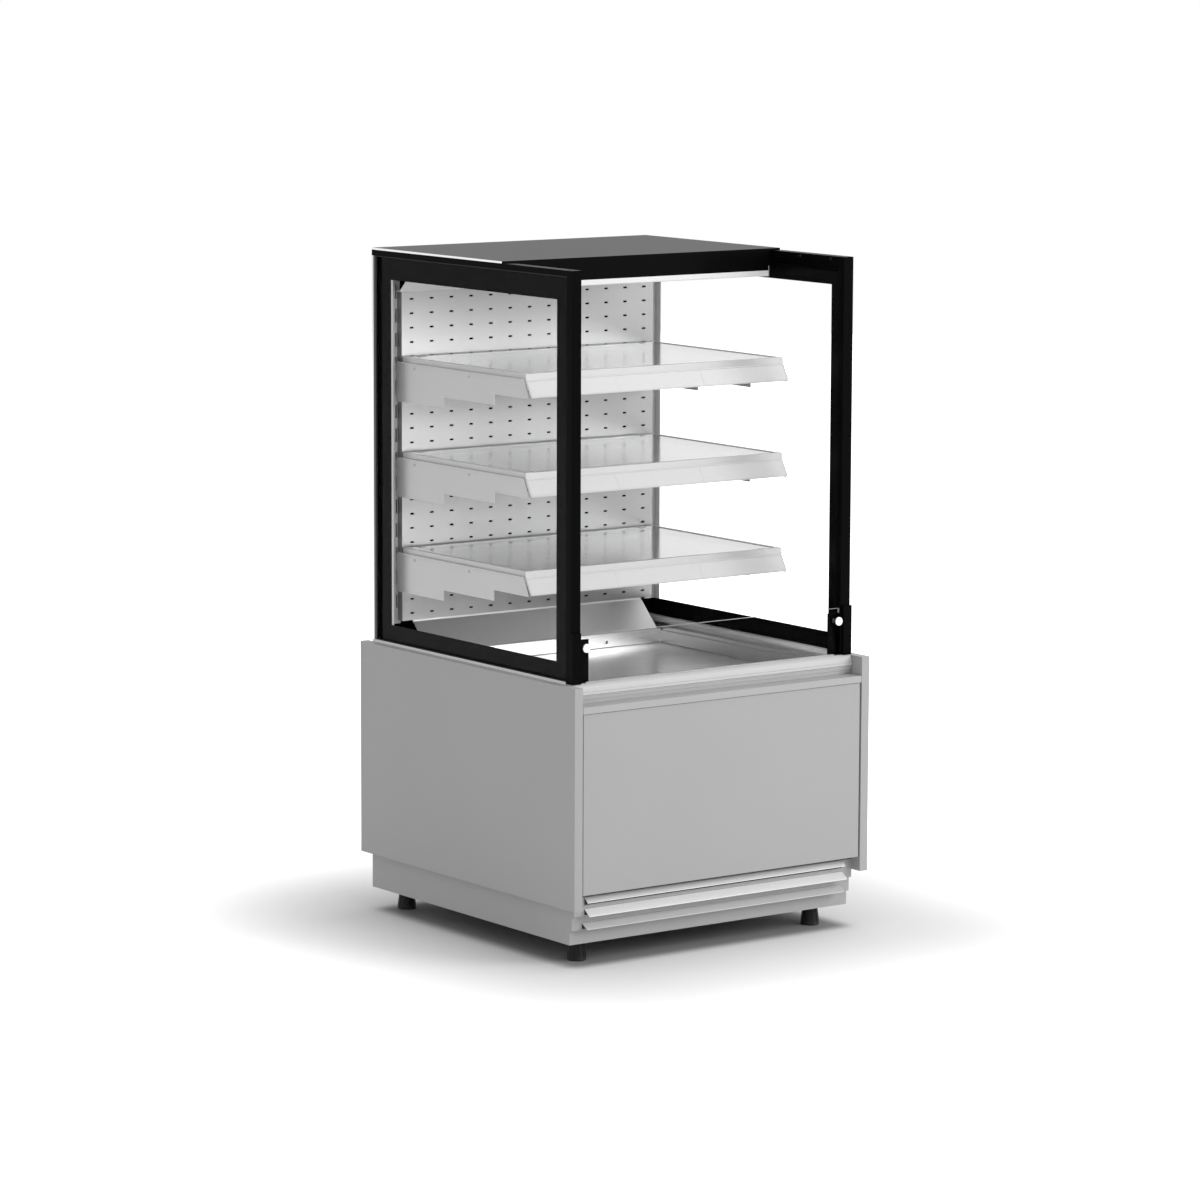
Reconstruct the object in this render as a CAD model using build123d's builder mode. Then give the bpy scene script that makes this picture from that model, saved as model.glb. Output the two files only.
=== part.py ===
from build123d import *

import os

# Refrigerated self-service display case with a glazed upper part and three shelves.
# Millimetres, +Z up, X to the right when facing the open front, Y towards the back.
# The origin is on the floor, under the middle of the case.

os.makedirs("parts", exist_ok=True)

# Overall size
case_width = 750.0
case_depth = 775.0
foot_height = 45.0
plinth_height = 77.0
board_height = 450.0
glazing_height = 828.0

# Boards and sheet stock
board_thickness = 20.0
frame_sheet = 2.0
thin_sheet = 1.5
fit_gap = 0.05
side_gap = 1.0

# Plinth and the stepped front below the front panel
step_height = 30.0
upper_step_recess = 28.0
lower_step_recess = 36.0
kick_recess = 44.0
rear_recess = 14.0
tank_height = 223.5
louvre_inset = 25.0
front_panel_lift = 30.0
front_panel_recess = 2.0
front_panel_thickness = 16.0
front_panel_gap = 3.0

# Counter edge on top of the front panel
ledge_height = 14.0
ledge_drop = 39.0
rim_front = 38.0
rim_back = 60.0
rim_rise = 1.5

# Insulated tank and the display well
tank_wall = 33.5
tank_floor = 35.0
tank_drop = 3.5
well_ledge = 55.0
well_depth = 41.0
well_rear_gap = 66.0
return_slot_front = 70.0
return_slot_back = 135.0

# Glazing
post_width = 24.0
post_depth = 16.0
post_front = 43.0
pane_thickness = 6.0
pane_skin = 2.0
groove_gap = 0.2
rail_height = 8.5
top_rail_height = 12.0
rear_post_depth = 14.0
rear_post_inset = 18.0
groove_depth = 8.0
enamel_thickness = 0.3
border_front = 43.0
border_rear = 45.0
border_bottom = 35.0
border_top = 47.0

# Roof and light
roof_thickness = 4.0
roof_front = 285.0
fascia_height = 42.0
light_height = 12.0
light_depth = 21.0
light_end_gap = 23.0

# Back of the cold space
panel_inset = 85.0
panel_overlap = 7.0
panel_fold = 17.0
panel_bottom_rise = 48.0
soffit_drop = 43.0
hole_pitch_x = 50.0
hole_pitch_z = 30.0
hole_length = 10.0
hole_height = 4.0
hole_margin = 16.0
upright_width = 27.0
upright_gap = 2.0
upright_depth = 17.0
slot_pitch = 50.0
slot_height = 29.0
slot_width = 4.0

# Shelves
top_shelf_drop = 224.0
shelf_steps = 4
shelf_front = 238.0
shelf_rear_gap = 6.0
shelf_side_gap = 20.0
rim_height = 12.5
rim_width = 10.0
glass_ledge = 8.0
shelf_pane = 6.0
bracket_sheet = 2.0
strip_reach = 20.0
strip_height = 35.0
bracket_front_drop = 50.0
bracket_step = 22.0
bracket_step_front = 110.0
bracket_step_back = 153.0
hook_drop = 16.0

# Low front glass and its clamps
front_pane = 6.0
front_pane_height = 97.0
clamp_height = 102.5
clamp_width = 21.0
clamp_thickness = 7.0
clamp_web = 2.0
clamp_wall = 3.0
knob_radius = 9.0
knob_hub_radius = 7.0
knob_hub_length = 8.0
knob_height = 71.5
screw_radius = 3.0

# Feet
foot_radius = 19.0
foot_neck = 14.0
foot_inset_x = 55.0
foot_inset_front = 96.0
foot_inset_rear = 62.0
stud_radius = 5.0

# Levels and faces that follow from the sizes above
front = -case_depth / 2
back = case_depth / 2
body_half = case_width / 2 - board_thickness
plinth_bottom = foot_height
board_bottom = plinth_bottom + plinth_height
board_top = board_bottom + board_height
roof_top = board_top + glazing_height
plinth_back = back - rear_recess
kick_top = plinth_bottom + step_height
lower_step_top = kick_top + step_height
front_panel_bottom = board_bottom + front_panel_lift
ledge_top = board_top - ledge_drop
ledge_bottom = ledge_top - ledge_height
rim_top = board_top + rim_rise
tank_front = front + rim_back
tank_top = board_top - tank_drop
machine_top = tank_top - tank_height
well_floor = tank_top + thin_sheet - well_depth
pane_outer = body_half - pane_skin
pane_inner = pane_outer - pane_thickness
post_inner = body_half - post_width
rail_top = tank_top + rail_height
frame_top = roof_top - roof_thickness
top_rail_bottom = frame_top - top_rail_height
soffit_level = frame_top - fascia_height
glazing_back = back - rear_post_inset
panel_face = back - panel_inset
upright_face = panel_face + panel_fold
duct_back = upright_face + upright_depth
panel_bottom = board_top + panel_bottom_rise
panel_top = soffit_level - soffit_drop
upright_outer = pane_inner - upright_gap
upright_inner = upright_outer - upright_width
panel_half_width = upright_inner + panel_overlap
shelf_half_width = pane_inner - shelf_side_gap
well_half_width = body_half - well_ledge
well_rear = panel_face - well_rear_gap
louvre_half_length = body_half - louvre_inset
light_half_length = pane_inner - light_end_gap
bracket_middle = shelf_half_width + bracket_sheet / 2
shelf_levels = [roof_top - top_shelf_drop - n * shelf_steps * slot_pitch for n in range(3)]
shelf_names = ["top", "middle", "bottom"]
knob_level = rim_top + knob_height


def slab(x0, x1, y0, y1, z0, z1, mode=Mode.ADD):
    """A block between two corners, added to the piece that is being made."""
    with Locations(((x0 + x1) / 2, (y0 + y1) / 2, (z0 + z1) / 2)):
        Box(x1 - x0, y1 - y0, z1 - z0, mode=mode)


def both_sides(x0, x1, y0, y1, z0, z1, mode=Mode.ADD):
    """The same block on the left and on the right."""
    slab(-x1, -x0, y0, y1, z0, z1, mode)
    slab(x0, x1, y0, y1, z0, z1, mode)


def save(piece, name):
    """Labels a finished piece and writes it under its own name."""
    piece.part.label = name
    export_step(piece.part, f"parts/{name}.step")


# Side boards: coated panels that clad the lower cabinet and stand proud of it at front and back
board_edge_radius = 1.0
for side, side_name in ((-1, "left"), (1, "right")):
    with BuildPart() as side_board:
        with BuildSketch(Plane.XY.offset(board_bottom)):
            with Locations((side * (body_half + board_thickness / 2), 0)):
                Rectangle(board_thickness, case_depth)
        extrude(amount=board_height)
        outer_edges = side_board.edges().filter_by(Axis.Z).sort_by(Axis.X)
        fillet(outer_edges[:2] if side < 0 else outer_edges[-2:], board_edge_radius)
    save(side_board, f"side_board_{side_name}")

# Plinth frame: folded floor pan with stepped side walls, flanges and welded foot nuts
nut_radius = 10.0
nut_height = 14.0
flange_width = 23.0
wall_step_gap = thin_sheet
foot_places = [
    (side * (body_half - foot_inset_x), y)
    for side in (-1, 1)
    for y in (front + foot_inset_front, plinth_back - foot_inset_rear + rear_recess)
]
wall_inner = body_half - frame_sheet
panel_rest = front + front_panel_recess + front_panel_thickness
with BuildPart() as plinth_frame:
    with BuildSketch(Plane.YZ.offset(-body_half)):
        with BuildLine():
            Polyline(
                (front + kick_recess + wall_step_gap, plinth_bottom),
                (plinth_back, plinth_bottom),
                (plinth_back, machine_top),
                (panel_rest, machine_top),
                (panel_rest, front_panel_bottom + step_height),
                (front + upper_step_recess + wall_step_gap, front_panel_bottom + step_height),
                (front + upper_step_recess + wall_step_gap, lower_step_top),
                (front + lower_step_recess + wall_step_gap, lower_step_top),
                (front + lower_step_recess + wall_step_gap, kick_top),
                (front + kick_recess + wall_step_gap, kick_top),
                close=True,
            )
        make_face()
    extrude(amount=2 * body_half)
    slab(
        -wall_inner, wall_inner, front, back,
        plinth_bottom + frame_sheet, machine_top, Mode.SUBTRACT,
    )
    both_sides(
        wall_inner - flange_width, wall_inner, panel_rest, panel_rest + frame_sheet,
        front_panel_bottom + step_height, machine_top,
    )
    both_sides(
        wall_inner - flange_width, wall_inner, plinth_back - 2 * frame_sheet,
        plinth_back - frame_sheet, plinth_bottom + frame_sheet, machine_top,
    )
    with Locations(*[(x, y, plinth_bottom + frame_sheet + nut_height / 2) for x, y in foot_places]):
        Cylinder(nut_radius, nut_height)
    with Locations(*[(x, y, plinth_bottom + nut_height / 2) for x, y in foot_places]):
        Cylinder(stud_radius + fit_gap, 2 * nut_height, mode=Mode.SUBTRACT)
save(plinth_frame, "plinth_frame")

# Levelling feet: a conical base on a threaded stud, turned by hand to set the case level
foot_clearance = 0.5
foot_names = ["foot_front_left", "foot_rear_left", "foot_front_right", "foot_rear_right"]
for (foot_x, foot_y), foot_name in zip(foot_places, foot_names):
    with BuildPart() as foot:
        with BuildSketch(Plane((foot_x, foot_y, 0), x_dir=(1, 0, 0), z_dir=(0, -1, 0))):
            with BuildLine():
                Polyline(
                    (0, 0),
                    (foot_radius - 1, 0),
                    (foot_radius, 2),
                    (foot_radius, 6),
                    (foot_neck, foot_height - foot_clearance - 3),
                    (foot_neck, foot_height - foot_clearance),
                    (stud_radius, foot_height - foot_clearance),
                    (stud_radius, foot_height + nut_height + frame_sheet + 6),
                    (0, foot_height + nut_height + frame_sheet + 6),
                    close=True,
                )
            make_face()
        revolve(axis=Axis((foot_x, foot_y, 0), (0, 0, 1)))
    save(foot, foot_name)

# Kick plate: the lowest step of the front, a plain strip between the plinth walls
with BuildPart() as kick_plate:
    slab(
        -body_half, body_half, front + kick_recess, front + kick_recess + thin_sheet,
        plinth_bottom, kick_top,
    )
save(kick_plate, "kick_plate")


def louvre_panel(face, bottom, top, louvres):
    """A step of the front: one sheet with open slots, each under a hood bent out and down."""
    slab(-body_half, body_half, face, face + thin_sheet, bottom, top)
    for slot_top, slot_bottom, reach, fall in louvres:
        slab(
            -louvre_half_length, louvre_half_length, face, face + thin_sheet,
            slot_bottom, slot_top, Mode.SUBTRACT,
        )
        with BuildSketch(Plane.YZ.offset(-louvre_half_length)) as hood:
            with BuildLine():
                Polyline(
                    (face + thin_sheet, slot_top),
                    (face + thin_sheet, slot_top + thin_sheet),
                    (face, slot_top + thin_sheet),
                    (face - reach, slot_top + thin_sheet - fall),
                    (face - reach, slot_top - fall),
                    (face, slot_top),
                    close=True,
                )
            make_face()
        extrude(hood.sketch, amount=2 * louvre_half_length)


# Upper louvre panel: two air slots, the higher one just under the front panel
upper_slot_height = 15.0
upper_slot_drop = 10.0
upper_hood_reach = 11.5
upper_hood_fall = 10.0
lower_slot_height = 12.0
lower_hood_reach = 18.0
middle_hood_fall = 13.0
lower_hood_fall = 11.0
with BuildPart() as louvre_panel_upper:
    louvre_panel(
        front + upper_step_recess, lower_step_top, front_panel_bottom + step_height - side_gap,
        [
            (front_panel_bottom - upper_slot_drop,
             front_panel_bottom - upper_slot_drop - upper_slot_height,
             upper_hood_reach, upper_hood_fall),
            (lower_step_top + lower_slot_height + thin_sheet,
             lower_step_top + thin_sheet, lower_hood_reach, middle_hood_fall),
        ],
    )
    slab(
        -wall_inner, wall_inner, front + upper_step_recess + thin_sheet,
        front + lower_step_recess + thin_sheet, lower_step_top, lower_step_top + thin_sheet,
    )
save(louvre_panel_upper, "louvre_panel_upper")

# Lower louvre panel: one air slot
with BuildPart() as louvre_panel_lower:
    louvre_panel(
        front + lower_step_recess, kick_top, lower_step_top,
        [
            (kick_top + lower_slot_height + thin_sheet, kick_top + thin_sheet,
             lower_hood_reach, lower_hood_fall),
        ],
    )
    slab(
        -wall_inner, wall_inner, front + lower_step_recess + thin_sheet,
        front + kick_recess + thin_sheet, kick_top, kick_top + thin_sheet,
    )
save(louvre_panel_lower, "louvre_panel_lower")

# Front panel: lifts off forwards for access to the condenser
with BuildPart() as front_panel:
    slab(
        -body_half + front_panel_gap, body_half - front_panel_gap,
        front + front_panel_recess, panel_rest, front_panel_bottom, ledge_bottom - side_gap,
    )
    fillet(front_panel.faces().sort_by(Axis.Y)[0].edges(), board_edge_radius)
save(front_panel, "front_panel")

# Ledge strip: a folded channel whose front face is level with the edges of the side boards
ledge_groove = 1.0
ledge_groove_pitch = 9.0
with BuildPart() as ledge_strip:
    slab(
        -body_half + side_gap, body_half - side_gap, front, tank_front, ledge_bottom, ledge_top,
    )
    slab(
        -body_half + side_gap, body_half - side_gap, front + frame_sheet, tank_front,
        ledge_bottom + frame_sheet, ledge_top - frame_sheet, Mode.SUBTRACT,
    )
    for n in (1, 2):
        slab(
            -body_half + side_gap, body_half - side_gap,
            front + n * ledge_groove_pitch, front + n * ledge_groove_pitch + 2 * ledge_groove,
            ledge_top - ledge_groove, ledge_top, Mode.SUBTRACT,
        )
save(ledge_strip, "ledge_strip")

# Counter profile: hollow extrusion with a rounded nose, a bead and two grooves
profile_wall = 3.0
nose_y = front + rim_front
nose_depth = 5.0
nose_front = nose_y - nose_depth
nose_round = 16.0
nose_shoulder = 7.0
nose_lean = 0.6
bead_rise = 1.5
bead_front = nose_front - bead_rise
bead_top = rim_top - 18.0
bead_bottom = bead_top - 3.5
bead_foot = bead_bottom - 2.5
groove_width = 1.2
groove_lip = 0.5
upper_groove_top = bead_foot - groove_lip
upper_groove_bottom = upper_groove_top - groove_width
lower_groove_top = upper_groove_bottom - 5.9
lower_groove_bottom = lower_groove_top - groove_width
nose_foot = nose_front + 7.0
hollow_front = nose_foot + 1.0
profile_half = body_half - side_gap
with BuildPart() as counter_profile:
    with BuildSketch(Plane.YZ.offset(-profile_half)):
        with BuildLine():
            ThreePointArc(
                (nose_y, rim_top),
                (nose_front + nose_lean, rim_top - nose_shoulder),
                (nose_front, rim_top - nose_round),
            )
            Polyline(
                (nose_front, rim_top - nose_round),
                (bead_front, bead_top),
                (bead_front, bead_bottom),
                (nose_front + nose_lean, bead_foot),
                (nose_front + 2.0, upper_groove_top),
                (nose_front + 2.2, upper_groove_bottom),
                (nose_front + 1.2, upper_groove_bottom - groove_lip),
                (nose_front + 3.4, lower_groove_top + 0.2),
                (nose_front + 4.8, lower_groove_top),
                (nose_front + 5.0, lower_groove_bottom),
                (nose_front + 4.1, lower_groove_bottom - groove_lip),
                (nose_foot, ledge_top),
                (tank_front, ledge_top),
                (tank_front, rim_top),
                (nose_y, rim_top),
            )
        make_face()
        with Locations(((hollow_front + tank_front) / 2, (rim_top + ledge_top) / 2)):
            Rectangle(
                tank_front - hollow_front - 2 * profile_wall,
                rim_top - ledge_top - 2 * profile_wall, mode=Mode.SUBTRACT,
            )
    extrude(amount=2 * profile_half)
save(counter_profile, "counter_profile")

# Insulated tank: foam-filled tub that holds the evaporator under the display well
tank_half = body_half - side_gap / 2
tank_cavity_half = tank_half - tank_wall
tank_cavity_front = tank_front + 30.0
tank_cavity_back = duct_back + frame_sheet
drain_radius = 12.0
drain_place = (-150.0, 0.0)
with BuildPart() as insulated_tank:
    slab(-tank_half, tank_half, tank_front, plinth_back, machine_top, tank_top)
    slab(
        -tank_cavity_half, tank_cavity_half, tank_cavity_front, tank_cavity_back,
        machine_top + tank_floor, tank_top, Mode.SUBTRACT,
    )
    slab(
        -tank_cavity_half, tank_cavity_half, front + return_slot_front - side_gap,
        tank_cavity_front, well_floor - 2 * thin_sheet, tank_top, Mode.SUBTRACT,
    )
    with Locations((*drain_place, machine_top - drain_radius)):
        Cylinder(drain_radius, 2 * drain_radius)
    with Locations((*drain_place, machine_top)):
        Cylinder(drain_radius - frame_sheet, 3 * tank_floor, mode=Mode.SUBTRACT)
save(insulated_tank, "insulated_tank")

# Display well: pressed stainless liner with stepped sides, hung in the tank
step_a = 4.0
step_b = 14.0
rise_a = 8.0
rise_b = 6.0
flange_top = tank_top + thin_sheet
slot_front = front + return_slot_front
slot_back = front + return_slot_back
grille_rest = well_floor + 19.0
drain_slot_x = well_half_width - 143.0
rear_lip = well_floor + 30.0
with BuildPart() as deck_pan:
    x_a = well_half_width
    x_b = x_a + step_a
    x_c = x_b + step_b
    z_b = flange_top - rise_b
    z_a = z_b - rise_a
    right_side = [
        (x_a, well_floor),
        (x_a, z_a),
        (x_b, z_a),
        (x_b, z_b),
        (x_c, z_b),
        (x_c, flange_top),
        (post_inner, flange_top),
        (post_inner, tank_top),
        (x_c + thin_sheet, tank_top),
        (x_c + thin_sheet, z_b - thin_sheet),
        (x_b + thin_sheet, z_b - thin_sheet),
        (x_b + thin_sheet, z_a - thin_sheet),
        (x_a + thin_sheet, z_a - thin_sheet),
        (x_a + thin_sheet, well_floor - thin_sheet),
    ]
    left_side = [(-x, z) for x, z in reversed(right_side)]
    with BuildSketch(Plane.XZ.offset(-tank_front)):
        with BuildLine():
            Polyline(*right_side, *left_side, close=True)
        make_face()
    extrude(amount=-(upright_face - tank_front))
    # in front of the return air slot only the flange stays
    slab(
        -x_c - thin_sheet, x_c + thin_sheet, tank_front, slot_front,
        well_floor - thin_sheet, tank_top, Mode.SUBTRACT,
    )
    slab(
        -x_a - thin_sheet, x_a + thin_sheet, tank_front, slot_back - thin_sheet,
        well_floor - thin_sheet, z_a - thin_sheet, Mode.SUBTRACT,
    )
    # behind the rear wall of the well only the side ledges go on, up to the uprights
    slab(
        -x_a - thin_sheet, x_a + thin_sheet, well_rear + thin_sheet, upright_face,
        well_floor - thin_sheet, z_a - thin_sheet, Mode.SUBTRACT,
    )
    slab(-post_inner, post_inner, tank_front, slot_front + thin_sheet, tank_top, flange_top)
    slab(
        -x_b, x_b, slot_front, slot_front + thin_sheet, grille_rest - thin_sheet, tank_top,
    )
    slab(
        -x_b, x_b, slot_front, slot_front + step_b, grille_rest - thin_sheet, grille_rest,
    )
    slab(
        -x_a - thin_sheet, x_a + thin_sheet, slot_back - thin_sheet, slot_back,
        well_floor - thin_sheet, grille_rest,
    )
    slab(
        -x_a, x_a, slot_back - step_b, slot_back, grille_rest - thin_sheet, grille_rest,
    )
    slab(
        -x_a - thin_sheet, x_a + thin_sheet, well_rear, well_rear + thin_sheet,
        well_floor - thin_sheet, rear_lip,
    )
    with BuildSketch(Plane.XZ.offset(-well_rear)):
        with Locations(*[(s * drain_slot_x, well_floor + 12.0) for s in (-1, 1)]):
            SlotOverall(8.0, 5.0, rotation=90)
    extrude(amount=-thin_sheet, mode=Mode.SUBTRACT)
save(deck_pan, "deck_pan")

# Return air grille: slotted plate over the air slot, lifts out for cleaning
grille_slot_length = 58.0
grille_slot_height = 5.0
grille_bar = 8.0
grille_half = well_half_width - side_gap
grille_columns = int(2 * grille_half / (grille_slot_length + grille_bar))
grille_front = slot_front + thin_sheet + side_gap
grille_back = slot_back - side_gap
with BuildPart() as return_air_grille:
    with BuildSketch(Plane.XY.offset(grille_rest)):
        with Locations((0, (grille_front + grille_back) / 2)):
            Rectangle(2 * grille_half, grille_back - grille_front)
            with GridLocations(
                grille_slot_length + grille_bar, 2 * grille_slot_height, grille_columns, 4,
            ):
                SlotOverall(grille_slot_length, grille_slot_height, mode=Mode.SUBTRACT)
    extrude(amount=frame_sheet)
save(return_air_grille, "return_air_grille")

# Air deflector: sloped stainless plate, hooked over the well and tucked behind the panel
deflector_half = well_half_width - 3.0
deflector_foot = well_rear + 9.0
deflector_top = panel_bottom - 4.0
with BuildPart() as air_deflector:
    with BuildSketch(Plane.YZ.offset(-deflector_half)):
        with BuildLine():
            Polyline(
                (well_rear - side_gap, rear_lip),
                (well_rear - side_gap, rear_lip + thin_sheet),
                (deflector_foot, rear_lip + thin_sheet),
                (panel_face, deflector_top),
                (panel_face + thin_sheet, deflector_top),
                (panel_face + thin_sheet, panel_bottom + 10.0),
                (panel_face + 2 * thin_sheet, panel_bottom + 10.0),
                (panel_face + 2 * thin_sheet, deflector_top - thin_sheet),
                (panel_face, deflector_top - 2 * thin_sheet),
                (deflector_foot + thin_sheet, rear_lip),
                (well_rear + 2 * thin_sheet, rear_lip),
                (well_rear + 2 * thin_sheet, rear_lip - 8.0),
                (well_rear + thin_sheet, rear_lip - 8.0),
                (well_rear + thin_sheet, rear_lip),
                close=True,
            )
        make_face()
    extrude(amount=2 * deflector_half)
save(air_deflector, "air_deflector")

# Perforated panel: folded sheet with rows of short slots that let the cold air through
hole_columns = int(2 * panel_half_width / hole_pitch_x)
hole_rows = int((panel_top - panel_bottom - hole_margin) / hole_pitch_z) + 1
first_row = panel_top - hole_margin
with BuildPart() as perforated_panel:
    with BuildSketch(Plane.XZ.offset(-panel_face)):
        with Locations((0, (panel_bottom + panel_top) / 2)):
            Rectangle(2 * panel_half_width, panel_top - panel_bottom)
        with Locations((0, first_row - (hole_rows - 1) * hole_pitch_z / 2)):
            with GridLocations(hole_pitch_x, hole_pitch_z, hole_columns, hole_rows):
                SlotOverall(hole_length, hole_height, mode=Mode.SUBTRACT)
    extrude(amount=-thin_sheet)
    both_sides(
        panel_half_width - thin_sheet, panel_half_width, panel_face + thin_sheet, upright_face,
        panel_bottom, panel_top,
    )
save(perforated_panel, "perforated_panel")

# Shelf uprights: a pair of folded channels with a column of hook slots each
slot_level = shelf_levels[0] - hook_drop
upright_bottom = panel_bottom - 7.0
slots_below = int((slot_level - upright_bottom - slot_height) / slot_pitch)
slots_above = int((soffit_level - slot_level - slot_height / 2) / slot_pitch)
slot_count = slots_below + slots_above + 1
with BuildPart() as shelf_uprights:
    both_sides(
        upright_inner, upright_outer, upright_face, duct_back, upright_bottom, soffit_level,
    )
    both_sides(
        upright_inner + frame_sheet, upright_outer - frame_sheet, upright_face + frame_sheet,
        duct_back, upright_bottom, soffit_level, Mode.SUBTRACT,
    )
    slot_middle = slot_level + (slots_above - slots_below) * slot_pitch / 2
    for side in (-1, 1):
        with Locations((side * bracket_middle, upright_face + frame_sheet / 2, slot_middle)):
            with Locations(*[
                (0, 0, (n - (slot_count - 1) / 2) * slot_pitch) for n in range(slot_count)
            ]):
                Box(slot_width, 2 * frame_sheet, slot_height, mode=Mode.SUBTRACT)
save(shelf_uprights, "shelf_uprights")

# Rear wall: insulated panel that closes the back of the glazed part
rear_wall_clearance = 1.5
with BuildPart() as rear_wall:
    rear_half = pane_inner - rear_wall_clearance
    slab(-rear_half, rear_half, duct_back, glazing_back - rear_post_depth, tank_top, frame_top)
    slab(
        -post_inner + side_gap, post_inner - side_gap, glazing_back - rear_post_depth,
        glazing_back, tank_top, frame_top,
    )
    both_sides(
        post_inner - side_gap, rear_half + 1, duct_back - 1, glazing_back,
        frame_top - top_rail_height - groove_gap, frame_top, Mode.SUBTRACT,
    )
    both_sides(
        post_inner - side_gap, rear_half + 1, duct_back - 1, glazing_back,
        tank_top, rail_top + groove_gap, Mode.SUBTRACT,
    )
save(rear_wall, "rear_wall")

# Glass base rails: bright channels along the foot of each side pane
groove_floor = rim_top
rail_front = tank_front
with BuildPart() as base_rails:
    both_sides(post_inner, body_half, rail_front, glazing_back, tank_top, rail_top)
    both_sides(
        pane_inner - groove_gap, pane_outer + groove_gap, rail_front, glazing_back,
        groove_floor, rail_top, Mode.SUBTRACT,
    )
save(base_rails, "base_rails")

# Front posts: extruded black profiles that hold the front edge of each side pane
post_back = front + post_front + post_depth
with BuildPart() as front_posts:
    both_sides(post_inner, body_half, front + post_front, post_back, rim_top, frame_top)
    both_sides(
        pane_inner - groove_gap, pane_outer + groove_gap, post_back - groove_depth, post_back,
        rim_top, frame_top, Mode.SUBTRACT,
    )
save(front_posts, "front_posts")

# Top rails: the same glass groove along the upper edge of each pane
with BuildPart() as top_rails:
    both_sides(post_inner, body_half, post_back, glazing_back, top_rail_bottom, frame_top)
    both_sides(
        pane_inner - groove_gap, pane_outer + groove_gap, post_back, glazing_back,
        top_rail_bottom, top_rail_bottom + groove_depth, Mode.SUBTRACT,
    )
save(top_rails, "top_rails")

# Rear posts: close the back edge of each pane
with BuildPart() as rear_posts:
    both_sides(
        post_inner, body_half, glazing_back - rear_post_depth, glazing_back,
        rail_top, top_rail_bottom,
    )
    both_sides(
        pane_inner - groove_gap, pane_outer + groove_gap, glazing_back - rear_post_depth,
        glazing_back - rear_post_depth + groove_depth, rail_top, top_rail_bottom, Mode.SUBTRACT,
    )
save(rear_posts, "rear_posts")

# Side panes: toughened glass, one each side
pane_front = post_back - groove_depth + side_gap
pane_back = glazing_back - rear_post_depth + groove_depth - side_gap
pane_top = top_rail_bottom + groove_depth - side_gap
for side, side_name in ((-1, "left"), (1, "right")):
    with BuildPart() as side_glass:
        x0, x1 = sorted((side * pane_inner, side * pane_outer))
        slab(x0, x1, pane_front, pane_back, groove_floor, pane_top)
    save(side_glass, f"side_glass_{side_name}")

# Black enamel border on the inner face of each side pane
border_y0 = post_back + side_gap
border_y1 = glazing_back - rear_post_depth - side_gap
border_z0 = rail_top + side_gap
border_z1 = top_rail_bottom - side_gap
with BuildPart() as glass_borders:
    both_sides(
        pane_inner - enamel_thickness, pane_inner, border_y0, border_y1, border_z0, border_z1,
    )
    both_sides(
        pane_inner - enamel_thickness, pane_inner, border_y0 + border_front,
        border_y1 - border_rear, border_z0 + border_bottom, border_z1 - border_top,
        Mode.SUBTRACT,
    )
save(glass_borders, "glass_borders")

# Clamps of the low front glass: a thick plate on the foot of each front post, and a thin web
# past the edge of the glass to a back plate that takes the knob's screw
clamp_front = front + post_front - clamp_thickness
clamp_top = rim_top + clamp_height
clamp_inner = body_half - clamp_width
pad_back = front + post_front + 2.0
pane_edge = post_inner - clamp_web
plate_front = pad_back + front_pane
plate_back = plate_front + clamp_wall
plate_inner = post_inner - 26.0
plate_top = rim_top + 87.0
knob_x = post_inner - 10.0
with BuildPart() as glass_clamps:
    both_sides(
        clamp_inner, body_half, clamp_front, front + post_front, rim_top, clamp_top,
    )
    both_sides(
        pane_edge, clamp_inner, front + post_front - clamp_web, front + post_front,
        rim_top, plate_top,
    )
    both_sides(pane_edge, post_inner, front + post_front, plate_front, rim_top, plate_top)
    both_sides(plate_inner, post_inner, plate_front, plate_back, rim_top, plate_top)
    with BuildSketch(Plane.XZ.offset(-plate_front)):
        with Locations((-knob_x, knob_level), (knob_x, knob_level)):
            Circle(screw_radius + fit_gap)
    extrude(amount=-clamp_wall, mode=Mode.SUBTRACT)
save(glass_clamps, "glass_clamps")

# Low front glass, with a notch at each side for the clamp screw
notch_half = screw_radius + 1.0
with BuildPart() as front_glass:
    slab(
        -pane_edge, pane_edge, pad_back, plate_front, rim_top, rim_top + front_pane_height,
    )
    both_sides(
        knob_x - notch_half, pane_edge, pad_back, plate_front,
        knob_level - notch_half, knob_level + notch_half, Mode.SUBTRACT,
    )
save(front_glass, "front_glass")

# Clamp knobs: a polished disc on a fluted hub, which turns against the front of the glass,
# with a screw through the notch into the back plate
knob_thickness = 3.0
knob_round = 1.0
knob_flute = 1.1
knob_flutes = 10
disc_seat = pad_back - knob_hub_length
for side, side_name in ((-1, "left"), (1, "right")):
    with BuildPart() as clamp_knob:
        with BuildSketch(Plane.XZ.offset(-disc_seat)):
            with Locations((side * knob_x, knob_level)):
                Circle(knob_radius)
        extrude(amount=knob_thickness)
        fillet(clamp_knob.edges().sort_by(Axis.Y)[0], knob_round)
        with BuildSketch(Plane.XZ.offset(-disc_seat)):
            with Locations((side * knob_x, knob_level)):
                Circle(knob_hub_radius)
                with PolarLocations(knob_hub_radius, knob_flutes):
                    Circle(knob_flute, mode=Mode.SUBTRACT)
        extrude(amount=-knob_hub_length)
        with BuildSketch(Plane.XZ.offset(-pad_back)):
            with Locations((side * knob_x, knob_level)):
                Circle(screw_radius)
        extrude(amount=-(plate_back - pad_back))
    save(clamp_knob, f"clamp_knob_{side_name}")

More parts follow.
